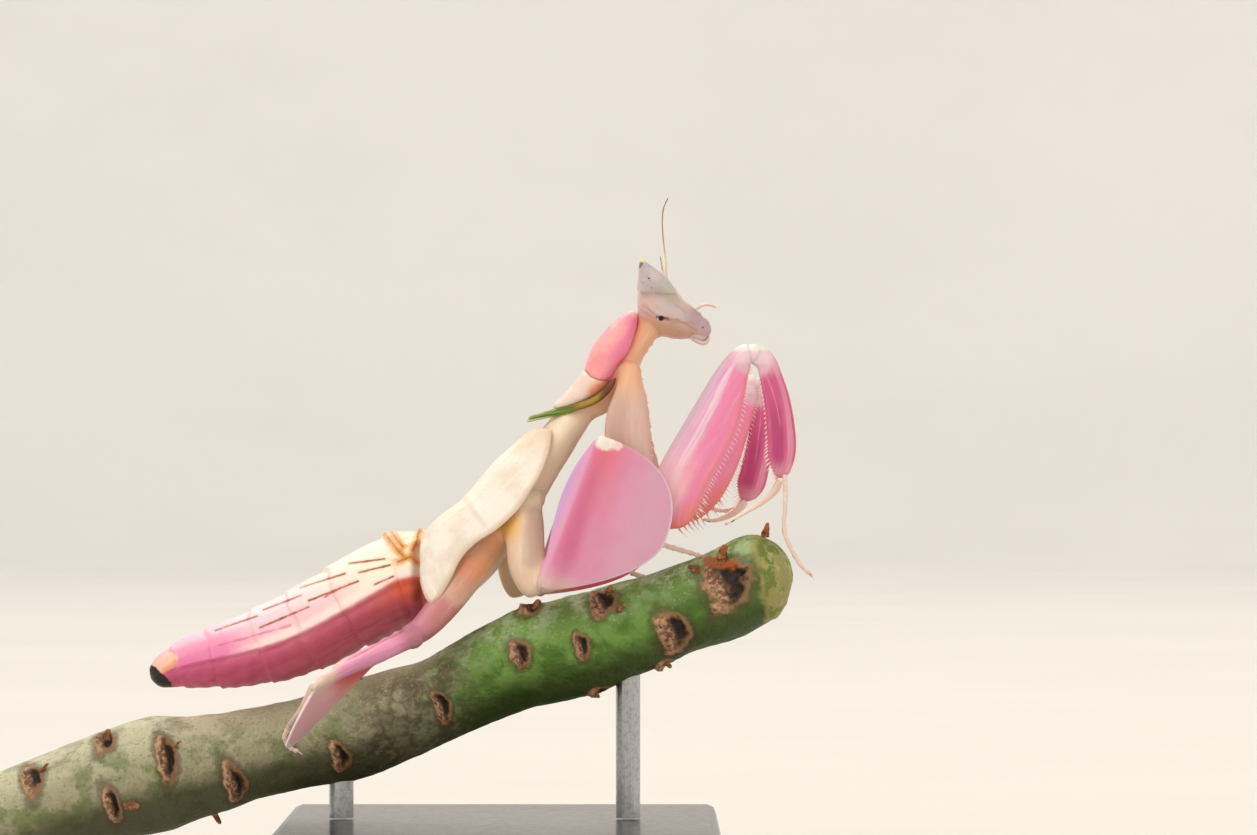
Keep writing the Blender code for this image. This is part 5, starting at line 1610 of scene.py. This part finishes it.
def walking_leg_surfaces(side):
    """The middle and hind legs, hips first: petal-lobed femora, thin tibiae and jointed feet."""
    left = side == LEFT
    hip = limb(MID_COXA, side, MID_HIP_MESH, TRUNK_SKIN, (0.4, 0.6), None, MID_LEFT_SHIFT, MID_LEFT_HIP_FROM)
    knee_shift, foot_shift = left * np.array(MID_LEFT_KNEE_SHIFT), left * np.array(MID_LEFT_FOOT_SHIFT)
    base = placed(MID_FEMUR_BASE, side) + left * np.array(MID_LEFT_BASE_SHIFT)
    knee = placed(MID_FEMUR_KNEE, side) + knee_shift
    outline = round_lobe(MID_FEMUR_WIDE[side], *MID_LOBE)
    shape = {"back": MID_BACK_LOBE, "cup": MID_CUP * side}
    lobe = petal(base, knee, MID_FEMUR_LOBE, MID_FEMUR_ROD, outline, MID_CREASES, LOBE_SKIN, **shape)
    share = np.linspace(0, 1, len(MID_TIBIA))[:, None]
    path = placed(MID_TIBIA, side) + (1 - share) * knee_shift + share * foot_shift
    shin = rod(path, *MID_SHIN_ROUND, material=SHIN_SKIN)
    foot = rod(foot_path(MID_TARSUS, MID_LEFT_TARSUS, side), *MID_FOOT_ROUND, material=SHIN_SKIN)
    fillet(hip, thigh_core(base, knee, *MID_THIGH_CORE), MID_THIGH_BLEND)
    fillet(lobe, hip["core"], MID_THIGH_BLEND)

    hind_hip = limb(HIND_COXA, side, HIND_HIP_MESH, TRUNK_SKIN, (0.4, 0.6))
    base, knee = placed(HIND_FEMUR_BASE, side), placed(HIND_FEMUR_KNEE, side)
    outline, outward = round_lobe(HIND_FEMUR_WIDE, *HIND_LOBE), placed(HIND_FEMUR_LOBE, side)
    hind = petal(base, knee, outward, HIND_FEMUR_ROD, outline, HIND_CREASES, HIND_SKIN)
    fillet(hind_hip, thigh_core(base, knee, *HIND_THIGH_CORE), HIND_THIGH_BLEND)
    fillet(hind, hind_hip["core"], HIND_THIGH_BLEND)
    hind_shin = rod(placed(HIND_TIBIA, side), *HIND_SHIN_ROUND, material=SHIN_SKIN)
    hind_foot = rod(placed(HIND_TARSUS, side), *HIND_FOOT_ROUND, material=SHIN_SKIN)
    return [hip, hind_hip, lobe, shin, foot, hind, hind_shin, hind_foot]


def make_skin():
    """One skin over abdomen, thorax, neck, head, mouthparts and all leg segments."""
    abdomen, trunk, head = abdomen_surface(), trunk_surface(), head_surface()
    surfaces = [abdomen, trunk, head, *mouthpart_surfaces()]
    for side in SIDES.values():
        fore, (mid_hip, hind_hip, *walking) = fore_leg_surfaces(side), walking_leg_surfaces(side)
        for hip, reach in zip((fore[0], mid_hip, hind_hip), HIP_BLENDS):
            fillet(hip, trunk["core"], reach)
            fillet(trunk, hip["core"], reach)
        fillet(abdomen, hind_hip["core"], WAIST_BLEND)
        surfaces += [*fore, mid_hip, hind_hip, *walking]
    fillet(trunk, head["core"], NECK_BLEND)
    fillet(head, trunk["core"], NECK_BLEND)
    fillet(abdomen, trunk["core"], WAIST_BLEND)
    fillet(trunk, abdomen["core"], WAIST_BLEND)
    materials = [
        abdomen_cuticle(), trunk_cuticle(), head_cuticle(), coxa_cuticle(),
        femur_cuticle(), tibia_cuticle(), lobe_cuticle(), hind_lobe_cuticle(), shin_cuticle(),
    ]
    segments = ("coxa", "femur", "tibia", "tarsus")
    limbs = [f"{leg}_{segment}" for leg in ("fore", "mid", "hind") for segment in segments] + ["palp"]
    flesh = [f"abdomen_{part}" for part in ("front", "middle", "rear", "tip")]
    flesh += ["thorax", "prothorax", "neck", "head"]
    add_piece("mantis_skin", surfaces, materials, flesh + both(*limbs))


def make_shield():
    """The pronotum: a plump front lobe, a cross furrow and a long hind part, with a raised rim."""
    rings, sides = SHIELD_MESH

    def swell(angle, run):
        return 1 + 0.03 * bump_at(turn_of(angle), 0.86, 0.05) + 0 * run[:, None]

    shape = {"power": SHIELD_KEEL, "swell": swell, "ends": (0.3, 0.3)}
    made = middle_tube(PRONOTUM, spread(rings), sides, (0.0, -1.0, 0.0), **shape)
    points, normals = made["points"], normals_of(made)
    furrow_x, furrow_z = np.array(SHIELD_FURROW).T
    steps = zip(SHIELD_FURROW[:-1], SHIELD_FURROW[1:])
    gap = np.min([line_gap(points, (*start, *end)) for start, end in steps], axis=0)
    made["fields"]["furrow"] = bump_at(gap, 0.0, 0.1)
    made["fields"]["behind"] = np.interp(points[:, 0], furrow_x, furrow_z) - points[:, 2]
    points -= 0.11 * bump_at(gap, 0.0, 0.16)[:, None] * normals
    add_piece("pronotum_shield", [made], [shield_cuticle()], ["pronotum"])


def make_collar():
    """The green band round the shield's hind edge: from one front end round the back to the other."""
    rings, sides = COLLAR_MESH
    rows = np.array(BAND)
    path = np.vstack([rows, (rows[:-1] * (1.0, RIGHT, 1.0, 1.0))[::-1]])
    values = smooth_rows(path, np.linspace(0, 1, rings))
    out = values[:, 1:2] / rows[0, 1]
    outward = np.hstack([-0.62 * (1 - np.abs(out)), out, 0.78 - 0.6 * np.abs(out)])

    def ribs(angle, run):
        return 1 + 0.1 * np.cos(3 * angle) + 0.04 * np.sin(run[:, None] * 7.0) * np.abs(np.cos(angle))

    thick = BAND_THICK * (0.5 + 0.5 * values[:, 3] / BAND_WIDEST)
    collar = tube(values[:, :3], thick, values[:, 3], sides, outward, swell=ribs, ends=(0.1, 0.1))
    add_piece("pronotum_collar", [collar], [band_cuticle()], ["pronotum_band"])


def pad_surface(inner, outer, outward):
    """A thin plate that bulges between two edge curves, with round edges and a few folded veins.

    The field rim is the distance from the nearest edge, up to 3, and tail goes from 0 at the front to 1 at
    the rear.
    """
    rings, columns = PAD_MESH
    places = spread(rings)
    first, last = smooth_rows(inner, places), smooth_rows(outer, places)
    across = spread(columns + 1)
    grid = first[:, None, :] + across[None, :, None] * (last - first)[:, None, :]
    length = np.linalg.norm(last - first, axis=1)
    share = length / length.max()
    normal = unit(np.cross(np.gradient(grid, axis=0), np.gradient(grid, axis=1)))
    normal *= np.sign((normal * unit(outward)).sum(-1, keepdims=True))
    veins = 0.05 * (np.abs(np.sin(across * 4.2 * math.pi + 0.6)) ** 3) * np.sin(math.pi * across)
    lift = PAD_BULGE * share[:, None] * np.sin(math.pi * across) + veins * share[:, None]
    run = run_of(grid.mean(axis=1))
    from_side = np.minimum(across, 1 - across)[None, :] * length[:, None]
    near = np.minimum(from_side, np.minimum(places, 1 - places)[:, None] * run[-1])
    thick = PAD_THICK / 2 * np.sqrt(np.clip(near / 0.35, 0.0, 1.0)) ** 0.8
    middle = grid + lift[..., None] * normal
    upper, lower = middle + normal * thick[..., None], middle - normal * thick[..., None]
    distance = across * length[:, None]
    fields = {"rim": np.clip(folded(near, near), 0, 3), "tail": places[:, None]}
    return surface(folded(upper, lower), run, closed(folded(distance, distance)), fields)


def make_wing_pads():
    """Fore and hind wing pads of each side, which lie together as one smooth plate."""
    for name, side in SIDES.items():
        plate = pad_surface(placed(PAD_INNER, side), placed(PAD_OUTER, side), (-0.3, side, 0.3))
        replaced = [f"forewing_pad_{name}", f"hindwing_pad_{name}"]
        add_piece(f"wing_pads_{name}", [plate], [pad_cuticle()], replaced)


def make_eyes():
    """Pointed eyes: level oval sections that shrink to a tip, on a flat foot that crosses the head."""
    material = eye_cuticle()
    rings, sides = EYE_MESH
    for name, side in SIDES.items():
        rows = smooth_rows(EYE, np.linspace(0, 1, rings))
        centres = placed(rows[:, :3], side)
        level = np.broadcast_to((0.07, 0.0, 1.0), centres.shape)
        eye = tube(centres, rows[:, 3], rows[:, 4], sides, tangents=level, ends=(0.3, 0.1))
        add_piece(f"eye_dome_{name}", [eye], [material], [f"eye_{name}"])


def make_feelers():
    """The whole right feeler, jointed and thread thin, and the left one's short stump."""
    material = feeler_cuticle()
    whole = rod(ANTENNA, *FEELER_ROUND)
    add_piece("feeler_right", [whole], [material], ["antenna_right"])
    stump = rod(placed(BROKEN_ANTENNA, LEFT), *STUMP_ROUND)
    add_piece("feeler_left", [stump], [material], ["antenna_left"])


DENSE = 400  # places at which the direction of a segment is known
STEM_DENSE = 600  # places at which the middle line of the stem is known
SPINE_INSET = 0.1  # how deep a spine's root lies
THIGH_SPINES, LONG_SPINES, SHIN_SPINES, HIP_TEETH = 44, 7, 27, 13  # how many in a row


def inner_margin(rows, side, places):
    """Points just inside a segment's inner margin, the way that the margin faces and the way along it."""
    values = smooth_rows(rows, places)
    centres = placed(values[:, :3], side)
    dense = placed(smooth_rows(rows, np.linspace(0, 1, DENSE))[:, :3], side)
    tangents = unit(np.gradient(dense, axis=0))[np.round(places * (DENSE - 1)).astype(int)]
    upward = sections(centres, ACROSS, tangents)[1]
    return centres - upward * (values[:, 4:5] - SPINE_INSET), -upward, tangents


def comb(rows, side, places, sizes, radius, lean, offset, bow):
    """Spines along a margin that lean along the segment, offset across it, with sizes in millimetres."""
    roots, facing, along = inner_margin(rows, side, places)
    sideways = np.array([0.0, offset, 0.0])
    roots = roots + sideways
    tips = roots + sizes[:, None] * unit(facing + lean * along + 0.6 * sideways)
    return spikes(roots, tips, radius, bow=bow * along.mean(axis=0))


def make_spines():
    """Spines of the raptorial thighs and shins, and the small teeth on the front edge of their hips."""
    surfaces = []
    for side in SIDES.values():
        femur, tibia = FORE_ROWS[side]["femur"], FORE_ROWS[side]["tibia"]
        places = np.linspace(0.2, 0.86, THIGH_SPINES)
        uneven = 0.62 * (0.8 + 0.2 * (np.arange(THIGH_SPINES) % 2))
        sizes = uneven * np.interp(places, [0.2, 0.4, 0.86], [1.35, 1.1, 0.7])
        for offset in (-0.2, 0.2):
            surfaces += comb(femur, side, places, sizes, radius=0.045, lean=-0.35, offset=offset, bow=0.06)
        places, sizes = np.linspace(0.06, 0.26, LONG_SPINES), np.linspace(1.2, 0.9, LONG_SPINES)
        surfaces += comb(femur, side, places, sizes, radius=0.085, lean=-0.3, offset=0.1, bow=-0.08)
        places = np.linspace(0.3, 0.965, SHIN_SPINES)
        sizes = np.interp(places, [0.3, 0.55, 0.8, 0.965], [0.2, 0.3, 0.55, 0.9])
        for offset in (-0.16, 0.16):
            surfaces += comb(tibia, side, places, sizes, radius=0.06, lean=0.9, offset=offset, bow=-0.03)
        places = np.linspace(0.12, 0.86, HIP_TEETH)
        dense = smooth_rows(FORE_COXA, places)
        centres = placed(dense[:, :3], side)
        tangents = unit(np.gradient(centres, axis=0))
        front = sections(centres, ACROSS, tangents)[1]
        edge = centres + front * (dense[:, 4:5] - 0.06)
        sizes = 0.16 + 0.1 * (np.arange(HIP_TEETH) % 3 == 0)
        surfaces += spikes(edge, edge + sizes[:, None] * unit(front + 0.3 * tangents), 0.08)
    add_piece("leg_spines", surfaces, [spine_horn()])


def make_claws():
    """The hooked claw at the end of each raptorial tibia, and the paired claws of every foot."""
    material = claw_horn()
    for name, side in SIDES.items():
        hook = rod(placed(FORE_ROWS[side]["claw"], side), *CLAW_ROUND)
        add_piece(f"raptor_claw_{name}", [hook], [material], [f"fore_claw_{name}"])
    feet = []
    for side in SIDES.values():
        paths = [
            foot_path(FORE_TARSUS, FORE_LEFT_TARSUS, side),
            foot_path(MID_TARSUS, MID_LEFT_TARSUS, side),
            placed(HIND_TARSUS, side),
        ]
        for points in paths:
            end, along = points[-1], unit(points[-1] - points[-2])
            spread_out = unit(np.cross(along, (0.3, 0.1, 1.0)))
            for way in (-1, 1):
                start = end - 0.12 * along + 0.05 * way * spread_out
                tip = end + 0.28 * along + 0.18 * way * spread_out + np.array([0, 0, -0.1])
                feet += spikes([start], [tip], 0.06, bow=0.05 * way * spread_out)
    add_piece("foot_claws", feet, [spine_horn()])


def stem_frame(x):
    """Middle, radius and upward direction of the stem at x."""
    dense_x, dense_z, dense_radius = smooth_rows(STEM, np.linspace(0, 1, STEM_DENSE)).T
    z, radius = np.interp(x, dense_x, dense_z), np.interp(x, dense_x, dense_radius)
    slope = np.interp(x, dense_x, np.gradient(dense_z, dense_x))
    return np.array([x, 0.0, z]), radius, unit(np.array([-slope, 0.0, 1.0]))


def make_stem():
    """The cut stem: bark ripples, and raised lips round sunk leaf scars.

    The field scar is 1 on the rim of the nearest leaf scar and 0 at its middle, and scar_side is -1 on the
    scar's side towards -X and 1 on the other.
    """
    rings, sides = STEM_MESH
    places = np.concatenate([np.zeros(1), np.linspace(0, 1, rings - 1)])
    x, z, radius = smooth_rows(STEM, places).T
    centres = np.column_stack([x, np.zeros(rings), z])
    centres[0] = centres[1]
    tangents = unit(np.gradient(np.column_stack([x[1:], np.zeros(rings - 1), z[1:]]), axis=0))
    tangents = np.vstack([tangents[:1], tangents])
    sideways, upward = sections(centres, (0.0, -1.0, 0.0), tangents)
    upward = upward * np.sign(upward[:, 2:3])
    turns = np.linspace(-math.pi, math.pi, sides + 1)
    reach = np.repeat(radius[:, None], sides + 1, axis=1)
    ball = stacked(x[:, None], reach * np.cos(turns), reach * np.sin(turns))
    reach += sum(height * grain(ball, size, seed) for height, size, seed in BARK_RIPPLES)
    nearest = np.full(reach.shape, 3.0)
    which_side = np.zeros(reach.shape)
    for number, (scar_x, turn, half_length, half_height, lip) in enumerate(SCARS):
        off = (turns - math.radians(turn) + math.pi) % (2 * math.pi) - math.pi
        a = ((x - scar_x) / half_length)[:, None] + 0.35 * (off * radius.mean() / half_height) ** 2 - 0.15
        b = (off * radius.mean() / half_height)[None, :] + 0 * a
        distance = np.sqrt(a**2 + b**2) + 0.22 * grain(ball, 0.6, 40 + number) + 0.12 * grain(ball, 0.25, 71)
        left = 0.5 - 0.5 * np.tanh(2.5 * a)
        knob = lip * eased(distance, 1.15, 0.75) * (0.35 + 0.75 * left) * (1 + 0.5 * grain(ball, 0.35, 70))
        hollow = 1.1 * lip * eased(distance, 0.85, 0.4) * (1 - left)
        reach += knob - hollow + 0.22 * lip * bump_at(distance, 1.4, 0.8)
        which_side = np.where(distance < nearest, a, which_side)
        nearest = np.minimum(nearest, distance)
    facet = eased(x, 20.6, 21.2)[:, None]
    flats = np.cos((turns * 5 / (2 * math.pi) % 1 - 0.5) * 2 * math.pi / 5)
    reach = reach * (1 + facet * (0.02 - 0.12 * (1 - flats[None, :])))
    run = run_of(centres)
    reach = reach * (0.12 + 0.88 * round_end(run[-1] - run, 2.6, 0.02))[:, None]
    reach[0] *= 0.9
    points = ring_points(centres, upward, sideways, reach * np.cos(turns), reach * np.sin(turns))
    fields = {
        "turn": np.abs(turns[:-1]) / math.pi,
        "scar": nearest[:, :-1],
        "scar_side": np.clip(which_side, -1, 1)[:, :-1],
    }
    bark = surface(points[:, :-1], run, turns * radius[:, None], fields)
    add_piece("stem_bark", [bark], [stem_bark()], ["perch_stem"], sharp=40.0)


def make_stubs():
    """Dry stubs of leaves and twigs that lean out of the stem, torn at their ends."""
    rings, sides = STUB_MESH
    stubs = []
    for number, (stub_x, turn, length, lean, half) in enumerate(STUBS):
        middle, reach, up = stem_frame(stub_x)
        away = up * math.cos(math.radians(turn)) - np.array(ACROSS) * math.sin(math.radians(turn))
        root = middle + (reach - 0.25) * away
        aim = unit(away + np.array([lean, 0.0, 0.25 * lean]))
        tip = root + (length + 0.25) * aim
        path = np.stack([root, (root + tip) / 2 + 0.12 * away, tip])

        def torn(angle, run, seed=number):
            return 1 + 0.45 * grain(stacked(run[:, None], np.cos(angle), np.sin(angle)), 0.4, 90 + seed)

        rows = smooth_rows(path, np.linspace(0, 1, rings))
        thick = half * np.linspace(1.5, 0.5, rings)
        stubs.append(tube(rows, thick * 1.3, thick, sides, (0.1, 1.0, 0.1), swell=torn, ends=(0.05, 0.12)))
    add_piece("stem_stubs", stubs, [dry_stub_bark()])


def dress_stand():
    """Finishes for the solids that keep their own shape: the lacquered base and the steel rods."""
    lacquer, steel = base_lacquer(), rod_steel()
    for name, material in (("stand_base", lacquer), ("stand_rod_front", steel), ("stand_rod_rear", steel)):
        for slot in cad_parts[name].material_slots:
            slot.material = material


# -----------------------------------------------------------------------------
# Stage
# -----------------------------------------------------------------------------
CAMERA_PLACE = (10.537, -500.0, 37.925)
CAMERA_VIEW_WIDE = 103.07  # millimetres across the view at the model's middle plane
SENSOR = 36.0
FLOOR_REACH, WALL_REACH, BEND_HEIGHT, WALL_HEIGHT = 1000.0, 1500.0, 500.0, 850.0
FLOOR_RINGS, BEND_RINGS, BOWL_SIDES = 12, 40, 96
# Lights: the way that each shines, how wide its source looks in degrees, and its tint
LIGHTS = {
    "key": ((0.5, 0.75, -1.0), 50, "#FFF7EC"),
    "back": ((0.35, -0.9, -1.1), 40, "#FFF3E0"),
    "fill": ((-0.9, 0.8, -0.55), 60, "#F1F4FF"),
}


def add_bowl():
    """A seamless backdrop: a round floor that bends up into a wall."""
    bend = np.linspace(0, math.pi / 2, BEND_RINGS)
    bent = FLOOR_REACH + (WALL_REACH - FLOOR_REACH) * np.sin(bend)
    radius = np.concatenate([np.linspace(5, FLOOR_REACH, FLOOR_RINGS), bent, [WALL_REACH]])
    height = np.concatenate([np.zeros(FLOOR_RINGS), BEND_HEIGHT * (1 - np.cos(bend)), [WALL_HEIGHT]])
    angle = np.linspace(0, 2 * math.pi, BOWL_SIDES, endpoint=False)
    points = stacked(radius[:, None] * np.cos(angle), radius[:, None] * np.sin(angle), height[:, None])
    index = np.arange(len(radius) * BOWL_SIDES).reshape(len(radius), BOWL_SIDES)
    after = np.roll(index, -1, axis=1)
    quads = np.stack([index[:-1], index[1:], after[1:], after[:-1]], axis=-1).reshape(-1, 4).tolist()
    mesh = bpy.data.meshes.new("studio_bowl")
    mesh.from_pydata(points.reshape(-1, 3) * MM, [], quads + [tuple(range(BOWL_SIDES))])
    mesh.shade_smooth()
    washes = [("#E9E6E1", 0.4, (("mottle", 120.0), 0.4, 0.6))]
    mesh.materials.append(make_material("studio_paper", "paper", washes, (0.85, 0.95)))
    bowl = bpy.data.objects.new("studio_bowl", mesh)
    bpy.context.scene.collection.objects.link(bowl)


def make_stage():
    """A pale seamless bowl, broad lights from above, from behind and from the front, and the camera."""
    add_bowl()
    stage = bpy.context.scene.mantis_stage
    world = bpy.data.worlds.new("studio_air")
    world.use_nodes = True
    world.node_tree.nodes["Background"].inputs["Color"].default_value = (*linear("#EEF1F5"), 1.0)
    world.node_tree.nodes["Background"].inputs["Strength"].default_value = stage.ambient
    bpy.context.scene.world = world
    for name, (direction, degrees_wide, tint) in LIGHTS.items():
        lamp = bpy.data.lights.new(f"{name}_light", "SUN")
        lamp.energy, lamp.angle, lamp.color = getattr(stage, name), math.radians(degrees_wide), linear(tint)
        lamp_object = bpy.data.objects.new(f"{name}_light", lamp)
        lamp_object.rotation_euler = Vector(direction).to_track_quat("-Z", "Y").to_euler()
        bpy.context.scene.collection.objects.link(lamp_object)
    lens = bpy.data.cameras.new("camera")
    lens.sensor_width = SENSOR
    lens.lens = SENSOR * -CAMERA_PLACE[1] / CAMERA_VIEW_WIDE
    lens.clip_start, lens.clip_end = 0.01, 20.0
    lens.dof.use_dof = False
    camera = bpy.data.objects.new("camera", lens)
    camera.location = np.array(CAMERA_PLACE) * MM
    camera.rotation_euler = (math.pi / 2, 0.0, 0.0)
    bpy.context.scene.collection.objects.link(camera)
    bpy.context.scene.camera = camera
    bpy.context.scene.view_settings.view_transform = "Standard"


# -----------------------------------------------------------------------------
# Panel settings and operators
# -----------------------------------------------------------------------------
def colour_setting(name, words, value):
    return bpy.props.FloatVectorProperty(
        name=name, description=words, subtype="COLOR", size=3, min=0.0, max=1.0, default=linear(value)
    )


def strength_setting(name, words, value):
    return bpy.props.FloatProperty(name=name, description=words, default=value, min=0.0)


class MantisColours(bpy.types.PropertyGroup):
    """The main colours of the animal, its perch and its stand"""

    dorsal_cream: colour_setting("Dorsal cream", "Back of the front tergites", "#FFF0DA")
    petal_pink: colour_setting("Rear pink", "Back of the rear tergites", "#F9A3C6")
    side_crimson: colour_setting("Side crimson", "Sides of the abdomen", "#D2557A")
    dash_brown: colour_setting("Line brown", "Broken lines along the back", "#8A3C1C")
    pad_cream: colour_setting("Wing pad cream", "Wing pads", "#F9F0E4")
    neck_peach: colour_setting("Neck peach", "Neck, front of the thorax, tops of the front hips", "#EBB48E")
    head_lilac: colour_setting("Head lilac", "Crown and cheeks", "#D8C6C6")
    eye_grey: colour_setting("Eye grey", "Body of the eyes", "#C9BFC2")
    shield_pink: colour_setting("Shield pink", "Front of the pronotum", "#FD9CB0")
    band_green: colour_setting("Collar green", "Hind edge of the pronotum", "#5C7414")
    coxa_grey: colour_setting("Hip pink", "Front hips", "#DFBBAE")
    knee_pink: colour_setting("Knee pink", "Knees of the front legs", "#F4D5DC")
    femur_hot_pink: colour_setting("Thigh pink", "Front thighs", "#F67FAC")
    tibia_magenta: colour_setting("Shin magenta", "Front shins", "#D45C8C")
    lobe_pink: colour_setting("Petal pink", "Lobes of the middle legs", "#DE93B3")
    shin_pale: colour_setting("Foot pale", "Thin shins, feet and claws", "#EBD2C4")
    stem_green: colour_setting("Stem green", "Young bark of the perch", "#6E9440")
    board_black: colour_setting("Board black", "Base of the stand", "#101012")
    paper: colour_setting("Paper", "Floor and backdrop", "#E3E0DB")


class MantisStage(bpy.types.PropertyGroup):
    """Strength of the studio's lights"""

    key: strength_setting("Key", "Broad light from above left", 1.5)
    back: strength_setting("Back", "Light from behind and above", 1.6)
    fill: strength_setting("Fill", "Weak light from the front right", 0.35)
    ambient: strength_setting("Ambient", "Light from all round", 0.5)


class MANTIS_OT_add_skin(bpy.types.Operator):
    """Add the skin of trunk, head and legs"""

    bl_idname = "mantis.add_skin"
    bl_label = "Skin"

    def execute(self, context):
        make_skin()
        return {"FINISHED"}


class MANTIS_OT_add_shield(bpy.types.Operator):
    """Add the pronotum's shield and its green collar"""

    bl_idname = "mantis.add_shield"
    bl_label = "Shield and collar"

    def execute(self, context):
        make_shield()
        make_collar()
        return {"FINISHED"}


class MANTIS_OT_add_wing_pads(bpy.types.Operator):
    """Add the wing pads"""

    bl_idname = "mantis.add_wing_pads"
    bl_label = "Wing pads"

    def execute(self, context):
        make_wing_pads()
        return {"FINISHED"}


class MANTIS_OT_add_eyes(bpy.types.Operator):
    """Add the pointed eyes and the feelers"""

    bl_idname = "mantis.add_eyes"
    bl_label = "Eyes and feelers"

    def execute(self, context):
        make_eyes()
        make_feelers()
        return {"FINISHED"}


class MANTIS_OT_add_spines(bpy.types.Operator):
    """Add spines, teeth and claws"""

    bl_idname = "mantis.add_spines"
    bl_label = "Spines and claws"

    def execute(self, context):
        make_spines()
        make_claws()
        return {"FINISHED"}


class MANTIS_OT_add_perch(bpy.types.Operator):
    """Add the stem's bark and finish the stand"""

    bl_idname = "mantis.add_perch"
    bl_label = "Stem and stand"

    def execute(self, context):
        make_stem()
        make_stubs()
        dress_stand()
        return {"FINISHED"}


class MANTIS_OT_add_stage(bpy.types.Operator):
    """Add the backdrop, the lights and the camera"""

    bl_idname = "mantis.add_stage"
    bl_label = "Stage"

    def execute(self, context):
        make_stage()
        return {"FINISHED"}


STEPS = (
    MANTIS_OT_add_skin,
    MANTIS_OT_add_shield,
    MANTIS_OT_add_wing_pads,
    MANTIS_OT_add_eyes,
    MANTIS_OT_add_spines,
    MANTIS_OT_add_perch,
    MANTIS_OT_add_stage,
)


class MANTIS_PT_panel(bpy.types.Panel):
    """The model's colours, lights and building steps"""

    bl_label = "Orchid Mantis"
    bl_idname = "MANTIS_PT_panel"
    bl_space_type = "VIEW_3D"
    bl_region_type = "UI"
    bl_category = "Mantis"

    def draw(self, context):
        for settings in (context.scene.mantis_colours, context.scene.mantis_stage):
            for name in settings.__annotations__:
                self.layout.prop(settings, name)
        for step in STEPS:
            self.layout.operator(step.bl_idname)


CLASSES = (MantisColours, MantisStage, *STEPS, MANTIS_PT_panel)


def register():
    for kind in CLASSES:
        bpy.utils.register_class(kind)
    bpy.types.Scene.mantis_colours = bpy.props.PointerProperty(type=MantisColours)
    bpy.types.Scene.mantis_stage = bpy.props.PointerProperty(type=MantisStage)


def unregister():
    del bpy.types.Scene.mantis_stage
    del bpy.types.Scene.mantis_colours
    for kind in reversed(CLASSES):
        bpy.utils.unregister_class(kind)


def main():
    register()
    bpy.ops.mantis.add_skin()
    bpy.ops.mantis.add_shield()
    bpy.ops.mantis.add_wing_pads()
    bpy.ops.mantis.add_eyes()
    bpy.ops.mantis.add_spines()
    bpy.ops.mantis.add_perch()
    bpy.ops.mantis.add_stage()


if __name__ == "__main__":
    main()
